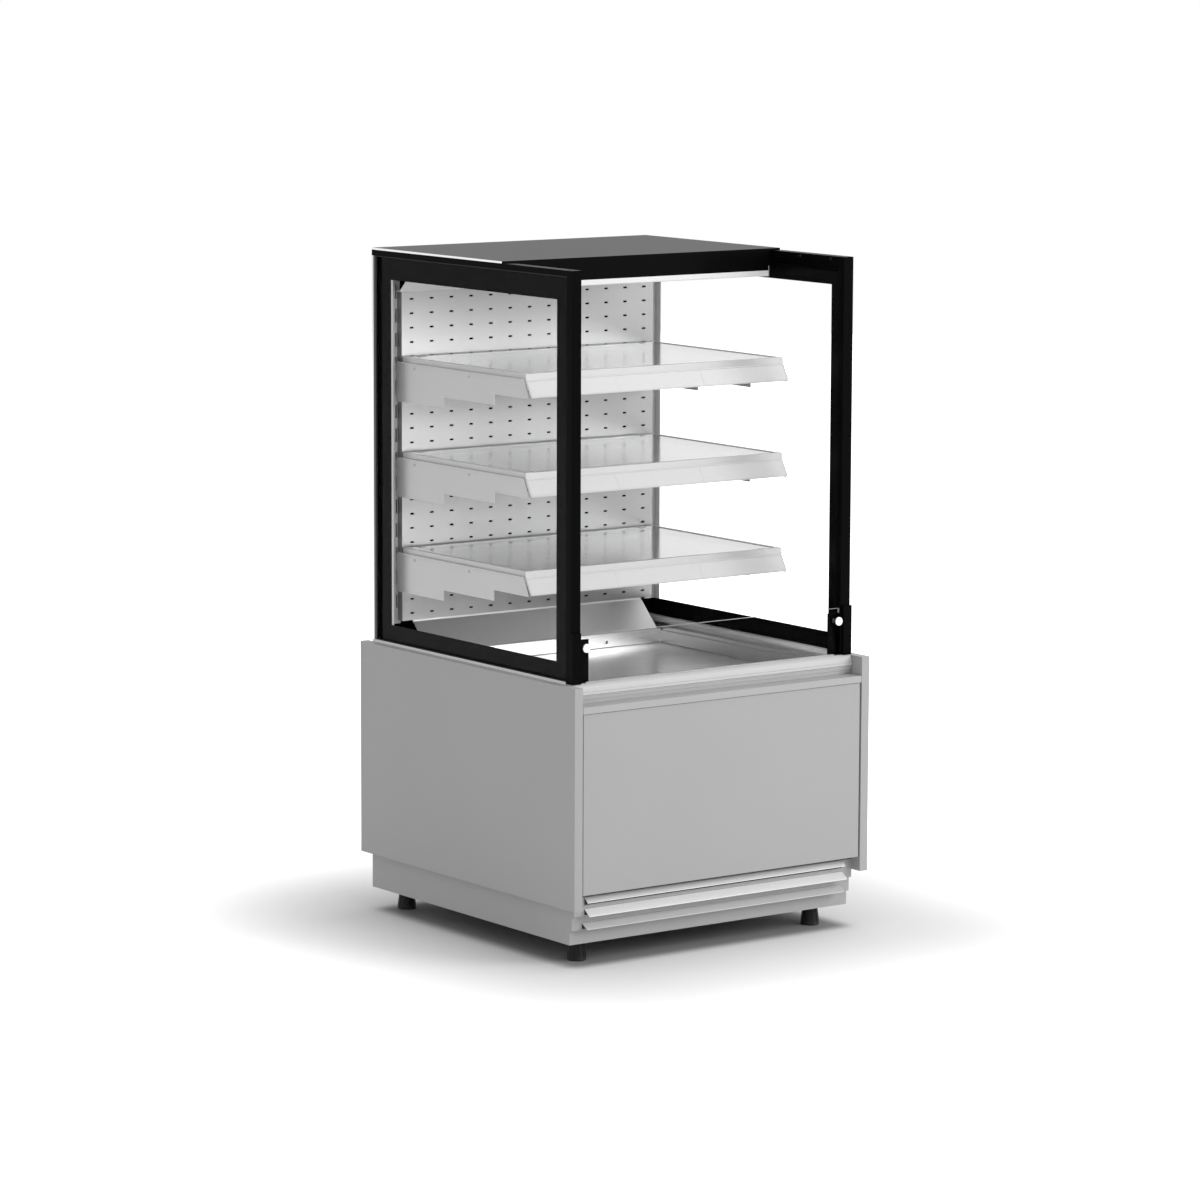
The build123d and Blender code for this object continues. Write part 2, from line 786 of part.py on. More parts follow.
# Canopy: roof plate with a deep black front fascia
fascia_half = post_inner - side_gap / 2
with BuildPart() as canopy:
    slab(-body_half, body_half, front + roof_front, glazing_back, frame_top, roof_top)
    slab(
        -fascia_half, fascia_half, front + roof_front, front + roof_front + frame_sheet,
        soffit_level, frame_top,
    )
save(canopy, "canopy")

# Light: an aluminium carrier behind the fascia and a long opal diffuser under it
light_front = front + roof_front + frame_sheet
light_back = light_front + light_depth
carrier_height = 13.0
with BuildPart() as light_housing:
    slab(
        -light_half_length, light_half_length, light_front, light_back,
        soffit_level, soffit_level + carrier_height,
    )
    slab(
        -light_half_length, light_half_length, light_front + thin_sheet,
        light_back - thin_sheet, soffit_level + thin_sheet,
        soffit_level + carrier_height - thin_sheet, Mode.SUBTRACT,
    )
save(light_housing, "light_housing")

with BuildPart() as light_diffuser:
    slab(
        -light_half_length, light_half_length, light_front - frame_sheet, light_back,
        soffit_level - light_height, soffit_level,
    )
    fillet(light_diffuser.edges().filter_by(Axis.X).sort_by(Axis.Z)[:2], 3.0)
save(light_diffuser, "light_diffuser")

# Canopy soffit: folded liner with an air outlet, sloping down to the top of the panel
soffit_front = light_back + side_gap
soffit_half = post_inner - side_gap
slope_start = panel_face - (soffit_level - panel_top)
outlet_slots = 24
with BuildPart() as canopy_soffit:
    with BuildSketch(Plane.YZ.offset(-soffit_half)):
        with BuildLine():
            Polyline(
                (soffit_front, soffit_level),
                (slope_start, soffit_level),
                (panel_face, panel_top + thin_sheet),
                (upright_face, panel_top + thin_sheet),
                (upright_face, panel_top),
                (panel_face - thin_sheet, panel_top),
                (slope_start - thin_sheet, soffit_level - thin_sheet),
                (soffit_front, soffit_level - thin_sheet),
                close=True,
            )
        make_face()
    extrude(amount=2 * soffit_half)
    both_sides(
        soffit_half - thin_sheet, soffit_half, soffit_front, slope_start, soffit_level, frame_top,
    )
    with BuildSketch(Plane.XY.offset(soffit_level - thin_sheet)):
        with Locations((0, soffit_front + 40.0)):
            with GridLocations(2 * soffit_half / (outlet_slots + 2), 0, outlet_slots, 1):
                SlotOverall(50.0, 14.0, rotation=90)
    extrude(amount=thin_sheet, mode=Mode.SUBTRACT)
save(canopy_soffit, "canopy_soffit")

# Shelves: each a welded frame on two hooked brackets, a glass plate and a price strip
hook_height = 16.0
hook_reach = 8.0
hook_rest = 0.3
hook_play = 2.0
hook_nib = 6.0
tongue_play = 1.0
bracket_back = upright_face - 2.0
bracket_relief = 4.0
bracket_flange = 4.0
strip_sheet = 2.0
glass_play = 1.0
strip_half = shelf_half_width - side_gap / 2
for level, shelf_name in zip(shelf_levels, shelf_names):
    rim_bottom = level - rim_height
    ledge_level = level - glass_play - shelf_pane
    low_front = level - bracket_front_drop
    pivot_level = level - hook_drop - slot_height / 2 + hook_rest
    y0 = front + shelf_front
    y1 = panel_face - shelf_rear_gap
    step_y0 = y0 + bracket_step_front
    step_y1 = y1 - bracket_step_back
    inner_half = shelf_half_width - rim_width
    with BuildPart() as shelf_frame:
        slab(-shelf_half_width, shelf_half_width, y0, y1, rim_bottom, level)
        slab(
            -inner_half, inner_half, y0 + rim_width, y1 - rim_width, ledge_level, level,
            Mode.SUBTRACT,
        )
        slab(
            -inner_half + glass_ledge, inner_half - glass_ledge, y0 + rim_width + glass_ledge,
            y1 - rim_width - glass_ledge, rim_bottom, level, Mode.SUBTRACT,
        )
        slab(
            -inner_half, inner_half, y0 + rim_width, y1 - rim_width,
            rim_bottom, ledge_level - frame_sheet, Mode.SUBTRACT,
        )
        for side in (-1, 1):
            bracket_left = side * bracket_middle - bracket_sheet / 2
            with BuildSketch(Plane.YZ.offset(bracket_left)):
                with BuildLine():
                    Polyline(
                        (y0 + 2 * strip_sheet, rim_bottom + frame_sheet),
                        (bracket_back - bracket_relief, rim_bottom + frame_sheet),
                        (bracket_back - bracket_relief, pivot_level),
                        (bracket_back, pivot_level - 2.0),
                        (bracket_back, low_front - 2 * bracket_step),
                        (step_y1, low_front - 2 * bracket_step),
                        (step_y1, low_front - bracket_step),
                        (step_y0, low_front - bracket_step),
                        (step_y0, low_front),
                        (y0 - strip_reach + 3 * strip_sheet, low_front),
                        (y0 + 2 * strip_sheet, rim_bottom),
                        close=True,
                    )
                make_face()
            extrude(amount=bracket_sheet)
            flange_x = sorted((side * (bracket_middle + bracket_sheet / 2),
                               side * (bracket_middle + bracket_sheet / 2 + bracket_flange)))
            slab(*flange_x, y0 + 2 * strip_sheet, y1, rim_bottom, rim_bottom + frame_sheet)
            # the upper hook drops behind the upright, the lower tongue only steadies the shelf
            sheet_back = upright_face + frame_sheet
            slab(
                bracket_left, bracket_left + bracket_sheet, bracket_back - bracket_relief,
                upright_face + hook_reach, pivot_level, pivot_level + hook_height,
            )
            slab(
                bracket_left, bracket_left + bracket_sheet, sheet_back + hook_play,
                upright_face + hook_reach, pivot_level - hook_nib, pivot_level,
            )
            slab(
                bracket_left, bracket_left + bracket_sheet, bracket_back,
                upright_face + hook_reach, pivot_level - slot_pitch + tongue_play,
                pivot_level - slot_pitch + hook_height,
            )
    save(shelf_frame, f"shelf_frame_{shelf_name}")

    with BuildPart() as shelf_glass:
        slab(
            -inner_half + side_gap / 2, inner_half - side_gap / 2, y0 + rim_width + side_gap / 2,
            y1 - rim_width - side_gap / 2, ledge_level, ledge_level + shelf_pane,
        )
    save(shelf_glass, f"shelf_glass_{shelf_name}")

    with BuildPart() as price_strip:
        with BuildSketch(Plane.YZ.offset(-strip_half)):
            with BuildLine():
                Polyline(
                    (y0, rim_bottom),
                    (y0 - strip_reach, rim_bottom - strip_height),
                    (y0 - strip_reach + strip_sheet, rim_bottom - strip_height),
                    (y0 + strip_sheet, rim_bottom - strip_sheet),
                    (y0 + rim_width, rim_bottom - strip_sheet),
                    (y0 + rim_width, rim_bottom),
                    close=True,
                )
            make_face()
        extrude(amount=2 * strip_half)
    save(price_strip, f"price_strip_{shelf_name}")


def impeller(middle, hub_radius, tip_radius, width, blade_count, pitch, shaft_length):
    """Fan wheel on the Y axis: hub, pitched blades and a shaft that points backwards."""
    with Locations(Plane(middle, x_dir=(1, 0, 0), z_dir=(0, -1, 0))):
        with PolarLocations((hub_radius + tip_radius) / 2 - 1, blade_count):
            Box(tip_radius - hub_radius + 2, width * 1.6, thin_sheet, rotation=(pitch, 0, 0))
        Cylinder(tip_radius, 2 * width, mode=Mode.INTERSECT)
        Cylinder(hub_radius, width)
        with Locations((0, 0, -(width + shaft_length) / 2)):
            Cylinder(screw_radius, shaft_length)


def motor_on_arms(middle, motor_radius, length, arm_reach, arm_y0, arm_y1):
    """Round fan motor held by a flat arm on each side, with a bore for the shaft."""
    x, y, z = middle
    with Locations(Plane(middle, x_dir=(1, 0, 0), z_dir=(0, -1, 0))):
        Cylinder(motor_radius, length)
    for side in (-1, 1):
        slab(x + side * arm_reach - 4, x + side * arm_reach + 4, arm_y0, arm_y1, z - 6, z + 6)
        inner, outer = sorted((x + side * (motor_radius - 3), x + side * (arm_reach + 4)))
        slab(inner, outer, arm_y1 - 4, arm_y1, z - 6, z + 6)
    with Locations(Plane(middle, x_dir=(1, 0, 0), z_dir=(0, -1, 0))):
        Cylinder(screw_radius + fit_gap, length, mode=Mode.SUBTRACT)


def finned_coil(x0, x1, y0, y1, z0, z1, fin_pitch, fin_cut, core):
    """Coil block with fins on both faces, standing on Z."""
    fins = int((x1 - x0) / fin_pitch)
    slab(x0, x1, y0, y1, z0, z1)
    with BuildSketch(Plane.XY.offset(z0)) as fin_gaps:
        for middle in ((y0 + (y1 - y0 - core) / 4), (y1 - (y1 - y0 - core) / 4)):
            with Locations(((x0 + x1) / 2, middle)):
                with GridLocations(fin_pitch, 0, fins - 1, 1):
                    Rectangle(fin_cut, (y1 - y0 - core) / 2)
    extrude(fin_gaps.sketch, amount=z1 - z0, mode=Mode.SUBTRACT)


# Condenser and its fan, behind the front panel
machine_floor = plinth_bottom + frame_sheet
coil_side_gap = 63.0
coil_width = 360.0
coil_x0 = -wall_inner + coil_side_gap
coil_x1 = coil_x0 + coil_width
coil_front = front + 120.0
coil_depth = 50.0
coil_height = machine_top - plinth_bottom - 30.0
coil_fin_pitch = 12.0
coil_fin_cut = 8.0
coil_core = 16.0
fan_x = (coil_x0 + coil_x1) / 2
fan_z = machine_floor + coil_height / 2
with BuildPart() as condenser:
    finned_coil(
        coil_x0, coil_x1, coil_front, coil_front + coil_depth,
        machine_floor, machine_floor + coil_height, coil_fin_pitch, coil_fin_cut, coil_core,
    )
save(condenser, "condenser")

shroud_y0 = coil_front + coil_depth
shroud_depth = 34.0
throat_radius = 112.0
fan_tip_gap = 8.0
condenser_fan_y = shroud_y0 + shroud_depth - 10.0
condenser_motor_y = condenser_fan_y + 34.0
condenser_motor_radius = 32.0
condenser_motor_length = 40.0
with BuildPart() as fan_shroud:
    slab(
        coil_x0, coil_x1, shroud_y0, shroud_y0 + shroud_depth,
        machine_floor, machine_floor + coil_height,
    )
    slab(
        coil_x0 + frame_sheet, coil_x1 - frame_sheet, shroud_y0,
        shroud_y0 + shroud_depth - frame_sheet, machine_floor + frame_sheet,
        machine_floor + coil_height - frame_sheet, Mode.SUBTRACT,
    )
    with BuildSketch(Plane.XZ.offset(-(shroud_y0 + shroud_depth - frame_sheet))):
        with Locations((fan_x, fan_z)):
            Circle(throat_radius)
    extrude(amount=-frame_sheet, mode=Mode.SUBTRACT)
    motor_on_arms(
        (fan_x, condenser_motor_y, fan_z), condenser_motor_radius, condenser_motor_length,
        throat_radius + fan_tip_gap, shroud_y0 + shroud_depth,
        condenser_motor_y + condenser_motor_length / 2,
    )
save(fan_shroud, "fan_shroud")

fan_hub_radius = 24.0
fan_width = 16.0
fan_blades = 5
fan_pitch = 28.0
fan_shaft = 20.0
with BuildPart() as condenser_fan:
    impeller(
        (fan_x, condenser_fan_y, fan_z), fan_hub_radius, throat_radius - fan_tip_gap,
        fan_width, fan_blades, fan_pitch, fan_shaft,
    )
save(condenser_fan, "condenser_fan")

# Compressor: welded shell on a base plate with four rubber mounts
compressor_x = wall_inner - 183.0
compressor_y = plinth_back - 241.0
mount_height = 14.0
mount_radius = 11.0
mount_pitch_x = 170.0
mount_pitch_y = 100.0
base_margin = 15.0
base_plate = 4.0
shell_radius = 74.0
shell_height = 175.0
shell_foot = 20.0
shell_shoulder = 32.0
shell_taper = 16.0
shell_crown = 22.0
crown_height = 8.0
relay_width = 56.0
relay_reach = 26.0
relay_bottom = 50.0
relay_height = 60.0
base_level = machine_floor + mount_height
base_top = base_level + base_plate
with BuildPart() as compressor:
    with BuildSketch(Plane.XY.offset(base_level)):
        with Locations((compressor_x, compressor_y)):
            RectangleRounded(
                mount_pitch_x + 2 * base_margin, mount_pitch_y + 2 * base_margin, base_margin - 3,
            )
    extrude(amount=base_plate)
    with BuildSketch(Plane.XY.offset(machine_floor)):
        with Locations((compressor_x, compressor_y)):
            with GridLocations(mount_pitch_x, mount_pitch_y, 2, 2):
                Circle(mount_radius)
    extrude(amount=mount_height)
    with BuildSketch(Plane((compressor_x, compressor_y, 0), x_dir=(1, 0, 0), z_dir=(0, -1, 0))):
        with BuildLine():
            Polyline(
                (0, base_top),
                (shell_radius - shell_taper, base_top),
                (shell_radius, base_top + shell_foot),
                (shell_radius, base_level + shell_height - crown_height - shell_shoulder),
                (shell_radius - shell_crown, base_level + shell_height - crown_height),
                (0, base_level + shell_height),
                close=True,
            )
        make_face()
    revolve(axis=Axis((compressor_x, compressor_y, 0), (0, 0, 1)))
    slab(
        compressor_x + shell_radius - base_plate, compressor_x + shell_radius + relay_reach,
        compressor_y - relay_width / 2, compressor_y + relay_width / 2,
        base_level + relay_bottom, base_level + relay_bottom + relay_height,
    )
save(compressor, "compressor")

# Refrigerant pipes: hot gas line to the condenser, and the suction line with its drier
pipe_radius = 4.0
pipe_bend = 16.0
gas_level = base_level + 90.0
coil_side_y = coil_front + coil_depth / 2
shell_front = compressor_y - shell_radius
suction_x = compressor_x - 60.0
suction_y = compressor_y + 110.0
drier_radius = 13.0
drier_length = 90.0
drier_top = machine_top - 30.0
with BuildPart() as refrigerant_pipes:
    with BuildLine() as gas_line:
        FilletPolyline(
            (compressor_x, shell_front, gas_level),
            (compressor_x, coil_side_y, gas_level),
            (coil_x1, coil_side_y, gas_level),
            radius=pipe_bend,
        )
    with BuildSketch(Plane(gas_line.line @ 0, z_dir=gas_line.line % 0)):
        Circle(pipe_radius)
    sweep(path=gas_line.line)
    with BuildLine() as suction_line:
        FilletPolyline(
            (compressor_x, compressor_y + shell_radius, gas_level),
            (compressor_x, suction_y, gas_level),
            (suction_x, suction_y, gas_level),
            (suction_x, suction_y, machine_top),
            radius=pipe_bend,
        )
    with BuildSketch(Plane(suction_line.line @ 0, z_dir=suction_line.line % 0)):
        Circle(pipe_radius)
    sweep(path=suction_line.line)
    with Locations((suction_x, suction_y, drier_top - drier_length / 2)):
        Cylinder(drier_radius, drier_length)
save(refrigerant_pipes, "refrigerant_pipes")

# Condensate tray under the drain of the tank
tray_height = 30.0
tray_width = 220.0
tray_length = 190.0
tray_x0 = drain_place[0] - tray_width / 2
tray_x1 = drain_place[0] + tray_width / 2
tray_y0 = drain_place[1] - 80.0
tray_y1 = tray_y0 + tray_length
with BuildPart() as condensate_tray:
    slab(tray_x0, tray_x1, tray_y0, tray_y1, machine_floor, machine_floor + tray_height)
    slab(
        tray_x0 + frame_sheet, tray_x1 - frame_sheet, tray_y0 + frame_sheet,
        tray_y1 - frame_sheet, machine_floor + frame_sheet, machine_floor + tray_height,
        Mode.SUBTRACT,
    )
save(condensate_tray, "condensate_tray")

# Evaporator in the tank, with the fan that drives air up the rear duct
tank_inside = machine_top + tank_floor
evaporator_legs = 25.0
evaporator_height = 70.0
evaporator_depth = 260.0
evaporator_end_gap = 71.0
evaporator_leg_width = 30.0
evaporator_leg_inset = 80.0
evaporator_fin_pitch = 14.0
evaporator_fin_cut = 10.0
evaporator_core = 120.0
evaporator_y0 = tank_cavity_front + 90.0
evaporator_y1 = evaporator_y0 + evaporator_depth
evaporator_half = tank_cavity_half - evaporator_end_gap
with BuildPart() as evaporator:
    finned_coil(
        -evaporator_half, evaporator_half, evaporator_y0, evaporator_y1,
        tank_inside + evaporator_legs, tank_inside + evaporator_legs + evaporator_height,
        evaporator_fin_pitch, evaporator_fin_cut, evaporator_core,
    )
    both_sides(
        evaporator_half - evaporator_leg_width, evaporator_half,
        evaporator_y0 + evaporator_leg_inset, evaporator_y1 - evaporator_leg_inset,
        tank_inside, tank_inside + evaporator_legs,
    )
save(evaporator, "evaporator")

cold_fan_radius = 58.0
cold_throat_gap = 5.0
plate_y = evaporator_y1 + 60.0
cold_fan_z = tank_inside + 70.0
cold_motor_y = plate_y + 50.0
cold_motor_radius = 24.0
cold_motor_length = 36.0
with BuildPart() as evaporator_fan_plate:
    slab(
        -tank_cavity_half + side_gap, tank_cavity_half - side_gap, plate_y,
        plate_y + frame_sheet, tank_inside, well_floor - 2 * thin_sheet,
    )
    with BuildSketch(Plane.XZ.offset(-plate_y)):
        with Locations((0, cold_fan_z)):
            Circle(cold_fan_radius + cold_throat_gap)
    extrude(amount=-frame_sheet, mode=Mode.SUBTRACT)
    motor_on_arms(
        (0, cold_motor_y, cold_fan_z), cold_motor_radius, cold_motor_length,
        cold_fan_radius + 12.0, plate_y + frame_sheet, cold_motor_y + cold_motor_length / 2,
    )
save(evaporator_fan_plate, "evaporator_fan_plate")

cold_fan_y = plate_y + 16.0
cold_hub_radius = 18.0
cold_fan_width = 12.0
cold_fan_shaft = 18.0
with BuildPart() as evaporator_fan:
    impeller(
        (0, cold_fan_y, cold_fan_z), cold_hub_radius, cold_fan_radius, cold_fan_width,
        fan_blades, fan_pitch - 2.0, cold_fan_shaft,
    )
save(evaporator_fan, "evaporator_fan")

# Rear cover of the machine space, vented, pulls off backwards
control_width = 158.0
control_x0 = wall_inner - side_gap - control_width
cover_y0 = plinth_back - frame_sheet
cover_bottom = machine_floor + side_gap
cover_top = machine_top - frame_sheet
vent_pitch_x = 110.0
vent_pitch_z = 18.0
vent_length = 90.0
vent_height = 7.0
vent_margin = 46.0
with BuildPart() as rear_cover:
    with BuildSketch(Plane.XZ.offset(-cover_y0)):
        cover_x0 = -wall_inner + side_gap
        cover_x1 = control_x0 - 2 * side_gap
        with Locations(((cover_x0 + cover_x1) / 2, (cover_bottom + cover_top) / 2)):
            Rectangle(cover_x1 - cover_x0, cover_top - cover_bottom)
            vent_columns = int((cover_x1 - cover_x0) / vent_pitch_x)
            vent_rows = int((cover_top - cover_bottom - 2 * vent_margin) / vent_pitch_z)
            with GridLocations(vent_pitch_x, vent_pitch_z, vent_columns, vent_rows):
                SlotOverall(vent_length, vent_height, mode=Mode.SUBTRACT)
    extrude(amount=-frame_sheet)
save(rear_cover, "rear_cover")

# Control panel: fixed plate beside the cover with the controller, the switch and the inlet
control_x = control_x0 + control_width / 2
controller_z = machine_top - 60.0
switch_z = controller_z - 70.0
inlet_z = machine_floor + 55.0
controller_width = 71.0
controller_height = 29.0
switch_width = 13.0
switch_height = 19.0
switch_rim = 2.0
switch_wall = 1.2
switch_body = 22.0
switch_pocket = 9.0
inlet_width = 27.0
inlet_height = 20.0
with BuildPart() as control_panel:
    with BuildSketch(Plane.XZ.offset(-cover_y0)):
        with Locations((control_x, (cover_bottom + cover_top) / 2)):
            Rectangle(control_width, cover_top - cover_bottom)
        with Locations((control_x, controller_z)):
            Rectangle(controller_width, controller_height, mode=Mode.SUBTRACT)
        with Locations((control_x, switch_z)):
            Rectangle(switch_width, switch_height, mode=Mode.SUBTRACT)
        with Locations((control_x, inlet_z)):
            Rectangle(inlet_width, inlet_height, mode=Mode.SUBTRACT)
    extrude(amount=-frame_sheet)
save(control_panel, "control_panel")

# Controller with its display window, and the frame of the light switch
bezel = 3.5
bezel_depth = 5.0
key_width = 9.0
key_height = 6.0
key_gap = 0.2
key_travel = 1.0
key_pocket = 4.0
key_offset = 24.0
key_x = control_x + key_offset
key_levels = {"key_up": controller_z + key_height, "key_down": controller_z - key_height}
window_left = 30.0
window_right = 12.0
window_half_height = 10.0
window_depth = 0.8
controller_body = 50.0
with BuildPart() as controller:
    slab(
        control_x - controller_width / 2 - bezel, control_x + controller_width / 2 + bezel,
        plinth_back, plinth_back + bezel_depth,
        controller_z - controller_height / 2 - bezel, controller_z + controller_height / 2 + bezel,
    )
    slab(
        control_x - controller_width / 2 + key_gap, control_x + controller_width / 2 - key_gap,
        plinth_back - controller_body, plinth_back,
        controller_z - controller_height / 2 + key_gap,
        controller_z + controller_height / 2 - key_gap,
    )
    slab(
        control_x - window_left, control_x + window_right,
        plinth_back + bezel_depth - window_depth, plinth_back + bezel_depth,
        controller_z - window_half_height, controller_z + window_half_height, Mode.SUBTRACT,
    )
    for level in key_levels.values():
        slab(
            key_x - key_width / 2 - key_gap, key_x + key_width / 2 + key_gap,
            plinth_back + bezel_depth - key_pocket, plinth_back + bezel_depth,
            level - key_height / 2 - key_gap, level + key_height / 2 + key_gap, Mode.SUBTRACT,
        )
    # switch frame: a short sleeve with a rim on the outside of the panel
    slab(
        control_x - switch_width / 2 - switch_rim, control_x + switch_width / 2 + switch_rim,
        plinth_back, plinth_back + switch_rim,
        switch_z - switch_height / 2 - switch_rim, switch_z + switch_height / 2 + switch_rim,
    )
    slab(
        control_x - switch_width / 2 + key_gap, control_x + switch_width / 2 - key_gap,
        plinth_back - switch_body, plinth_back, switch_z - switch_height / 2 + key_gap,
        switch_z + switch_height / 2 - key_gap,
    )
    slab(
        control_x - switch_width / 2 + switch_wall, control_x + switch_width / 2 - switch_wall,
        plinth_back - switch_pocket, plinth_back + switch_rim,
        switch_z - switch_height / 2 + switch_wall, switch_z + switch_height / 2 - switch_wall,
        Mode.SUBTRACT,
    )
save(controller, "controller")

for key_name, level in key_levels.items():
    with BuildPart() as key:
        slab(
            key_x - key_width / 2, key_x + key_width / 2,
            plinth_back + bezel_depth - key_pocket + 1.5 * key_travel,
            plinth_back + bezel_depth + 1.5 * key_travel,
            level - key_height / 2, level + key_height / 2,
        )
        fillet(key.faces().sort_by(Axis.Y)[-1].edges(), 0.6)
    save(key, key_name)

# Light switch: a rocker that tips about a pin across its frame
rocker_half_width = switch_width / 2 - 1.5
rocker_half_height = switch_height / 2 - 2.6
with BuildPart() as light_switch:
    with BuildSketch(Plane.YZ.offset(control_x - rocker_half_width)):
        with BuildLine():
            Polyline(
                (plinth_back - 4.0, switch_z - 2.5),
                (plinth_back - 1.0, switch_z - rocker_half_height),
                (plinth_back + 1.0, switch_z - rocker_half_height),
                (plinth_back + 1.5, switch_z),
                (plinth_back + 4.5, switch_z + rocker_half_height),
                (plinth_back + 2.5, switch_z + rocker_half_height),
                (plinth_back - 4.0, switch_z + 2.5),
                close=True,
            )
        make_face()
    extrude(amount=2 * rocker_half_width)
save(light_switch, "light_switch")

# Power inlet: flanged socket with three flat pins, for a detachable lead
inlet_depth = 16.0
inlet_wall = 1.5
inlet_flange = 25.0
inlet_rim = 2.0
inlet_base = 3.0
pin_offset = 2.0
pin_width = 2.0
pin_height = 4.0
pin_pitch = 7.0
with BuildPart() as power_inlet:
    slab(
        control_x - inlet_flange, control_x + inlet_flange, plinth_back,
        plinth_back + inlet_rim, inlet_z - inlet_height / 2 - inlet_rim,
        inlet_z + inlet_height / 2 + inlet_rim,
    )
    slab(
        control_x - inlet_width / 2 + key_gap, control_x + inlet_width / 2 - key_gap,
        plinth_back - inlet_depth - inlet_base, plinth_back,
        inlet_z - inlet_height / 2 + key_gap, inlet_z + inlet_height / 2 - key_gap,
    )
    slab(
        control_x - inlet_width / 2 + inlet_wall, control_x + inlet_width / 2 - inlet_wall,
        plinth_back - inlet_depth, plinth_back + inlet_rim,
        inlet_z - inlet_height / 2 + inlet_wall, inlet_z + inlet_height / 2 - inlet_wall,
        Mode.SUBTRACT,
    )
    for x, z in ((-pin_pitch, -pin_offset), (0.0, pin_offset), (pin_pitch, -pin_offset)):
        slab(
            control_x + x - pin_width / 2, control_x + x + pin_width / 2,
            plinth_back - inlet_depth, plinth_back - inlet_base,
            inlet_z + z - pin_height / 2, inlet_z + z + pin_height / 2,
        )
save(power_inlet, "power_inlet")
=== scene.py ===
"""Looks of a refrigerated display case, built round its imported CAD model."""
import math

import bmesh
import bpy
from mathutils import Matrix, Vector


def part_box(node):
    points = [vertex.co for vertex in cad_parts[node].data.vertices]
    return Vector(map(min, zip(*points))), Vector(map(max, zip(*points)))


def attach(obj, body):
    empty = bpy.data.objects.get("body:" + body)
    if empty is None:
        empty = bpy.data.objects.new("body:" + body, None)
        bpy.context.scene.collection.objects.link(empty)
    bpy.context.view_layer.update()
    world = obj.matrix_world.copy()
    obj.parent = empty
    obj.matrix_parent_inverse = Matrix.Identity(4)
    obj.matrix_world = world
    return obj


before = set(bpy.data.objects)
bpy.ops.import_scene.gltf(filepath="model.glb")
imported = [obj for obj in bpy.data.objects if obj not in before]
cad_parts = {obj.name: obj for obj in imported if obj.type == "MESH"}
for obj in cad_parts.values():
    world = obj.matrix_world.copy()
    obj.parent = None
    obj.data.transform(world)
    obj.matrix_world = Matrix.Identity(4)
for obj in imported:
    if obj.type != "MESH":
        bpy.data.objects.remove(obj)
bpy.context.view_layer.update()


# Levelling feet: black moulded cones on threaded studs, turned by hand to level the case.
# The moulding has ribs to grip, a fine texture, and scuffs a little paler near the floor.
class Level:
    """One output of a node, so that grain and wear can be written as sums."""

    def __init__(self, owner, socket):
        self.owner = owner
        self.socket = socket

    def _with(self, operation, first, second):
        return self.owner.node("ShaderNodeMath", {"operation": operation}, {0: first, 1: second})

    def __add__(self, other):
        return self._with("ADD", self, other)

    def __radd__(self, other):
        return self._with("ADD", other, self)

    def __sub__(self, other):
        return self._with("SUBTRACT", self, other)

    def __rsub__(self, other):
        return self._with("SUBTRACT", other, self)

    def __mul__(self, other):
        return self._with("MULTIPLY", self, other)

    def __gt__(self, other):
        return self._with("GREATER_THAN", self, other)

    def __lt__(self, other):
        return self._with("LESS_THAN", self, other)


class Finish:
    """The nodes of one procedural surface, or of the studio's world."""

    def __init__(self, holder, **constants):
        self.material = bpy.data.materials.new(holder) if isinstance(holder, str) else holder
        self.material.use_nodes = True
        self.tree = self.material.node_tree
        self.shader = self.tree.nodes.get("Principled BSDF")
        for socket, value in constants.items():
            self.shader.inputs[socket.replace("_", " ")].default_value = value

    def node(self, kind, settings, inputs, output=0):
        made = self.tree.nodes.new(kind)
        for name, value in settings.items():
            setattr(made, name, value)
        for name, value in inputs.items():
            if isinstance(value, Level):
                self.tree.links.new(value.socket, made.inputs[name])
            else:
                made.inputs[name].default_value = value
        return Level(self, made.outputs[output])

    def place(self, stretch=(1.0, 1.0, 1.0)):
        """Position on the piece in metres, stretched for a grain that runs one way."""
        where = self.node("ShaderNodeTexCoord", {}, {}, "Object")
        return self.node("ShaderNodeMapping", {}, {"Vector": where, "Scale": stretch})

    def along(self, axis, source=None):
        """One coordinate of a place, or of another vector."""
        return self.node("ShaderNodeSeparateXYZ", {}, {0: source or self.place()}, axis)

    def grain(self, scale, stretch=(1.0, 1.0, 1.0), detail=3.0):
        return self.node(
            "ShaderNodeTexNoise", {},
            {"Vector": self.place(stretch), "Scale": scale, "Detail": detail},
        )

    def ramp(self, level, low, high):
        return self.node(
            "ShaderNodeMapRange", {"interpolation_type": "SMOOTHSTEP"},
            {"Value": level, "From Min": low, "From Max": high},
        )

    def tint(self, factor, first, second):
        """A colour between two greys, colours or other tints."""
        ends = [
            c if isinstance(c, Level) else (*c, 1.0) if isinstance(c, tuple) else (c, c, c, 1.0)
            for c in (first, second)
        ]
        return self.node(
            "ShaderNodeMix", {"data_type": "RGBA"}, {0: factor, 6: ends[0], 7: ends[1]}, 2
        )

    def feed(self, socket, level):
        self.tree.links.new(level.socket, self.shader.inputs[socket])

    def relief(self, height, distance, strength=1.0):
        bump = {"Height": height, "Distance": distance, "Strength": strength}
        self.feed("Normal", self.node("ShaderNodeBump", {}, bump, "Normal"))

    def dress(self, *names, eased=0.0):
        """Gives the finish to CAD pieces, with their folded or sawn edges eased."""
        for name in names:
            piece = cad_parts[name]
            piece.data.materials.clear()
            piece.data.materials.append(self.material)
            if eased:
                edge = piece.modifiers.new("eased", "BEVEL")
                edge.width = eased
                edge.segments = 2
                edge.limit_method = "ANGLE"
                edge.angle_limit = math.radians(50)
                edge.harden_normals = True


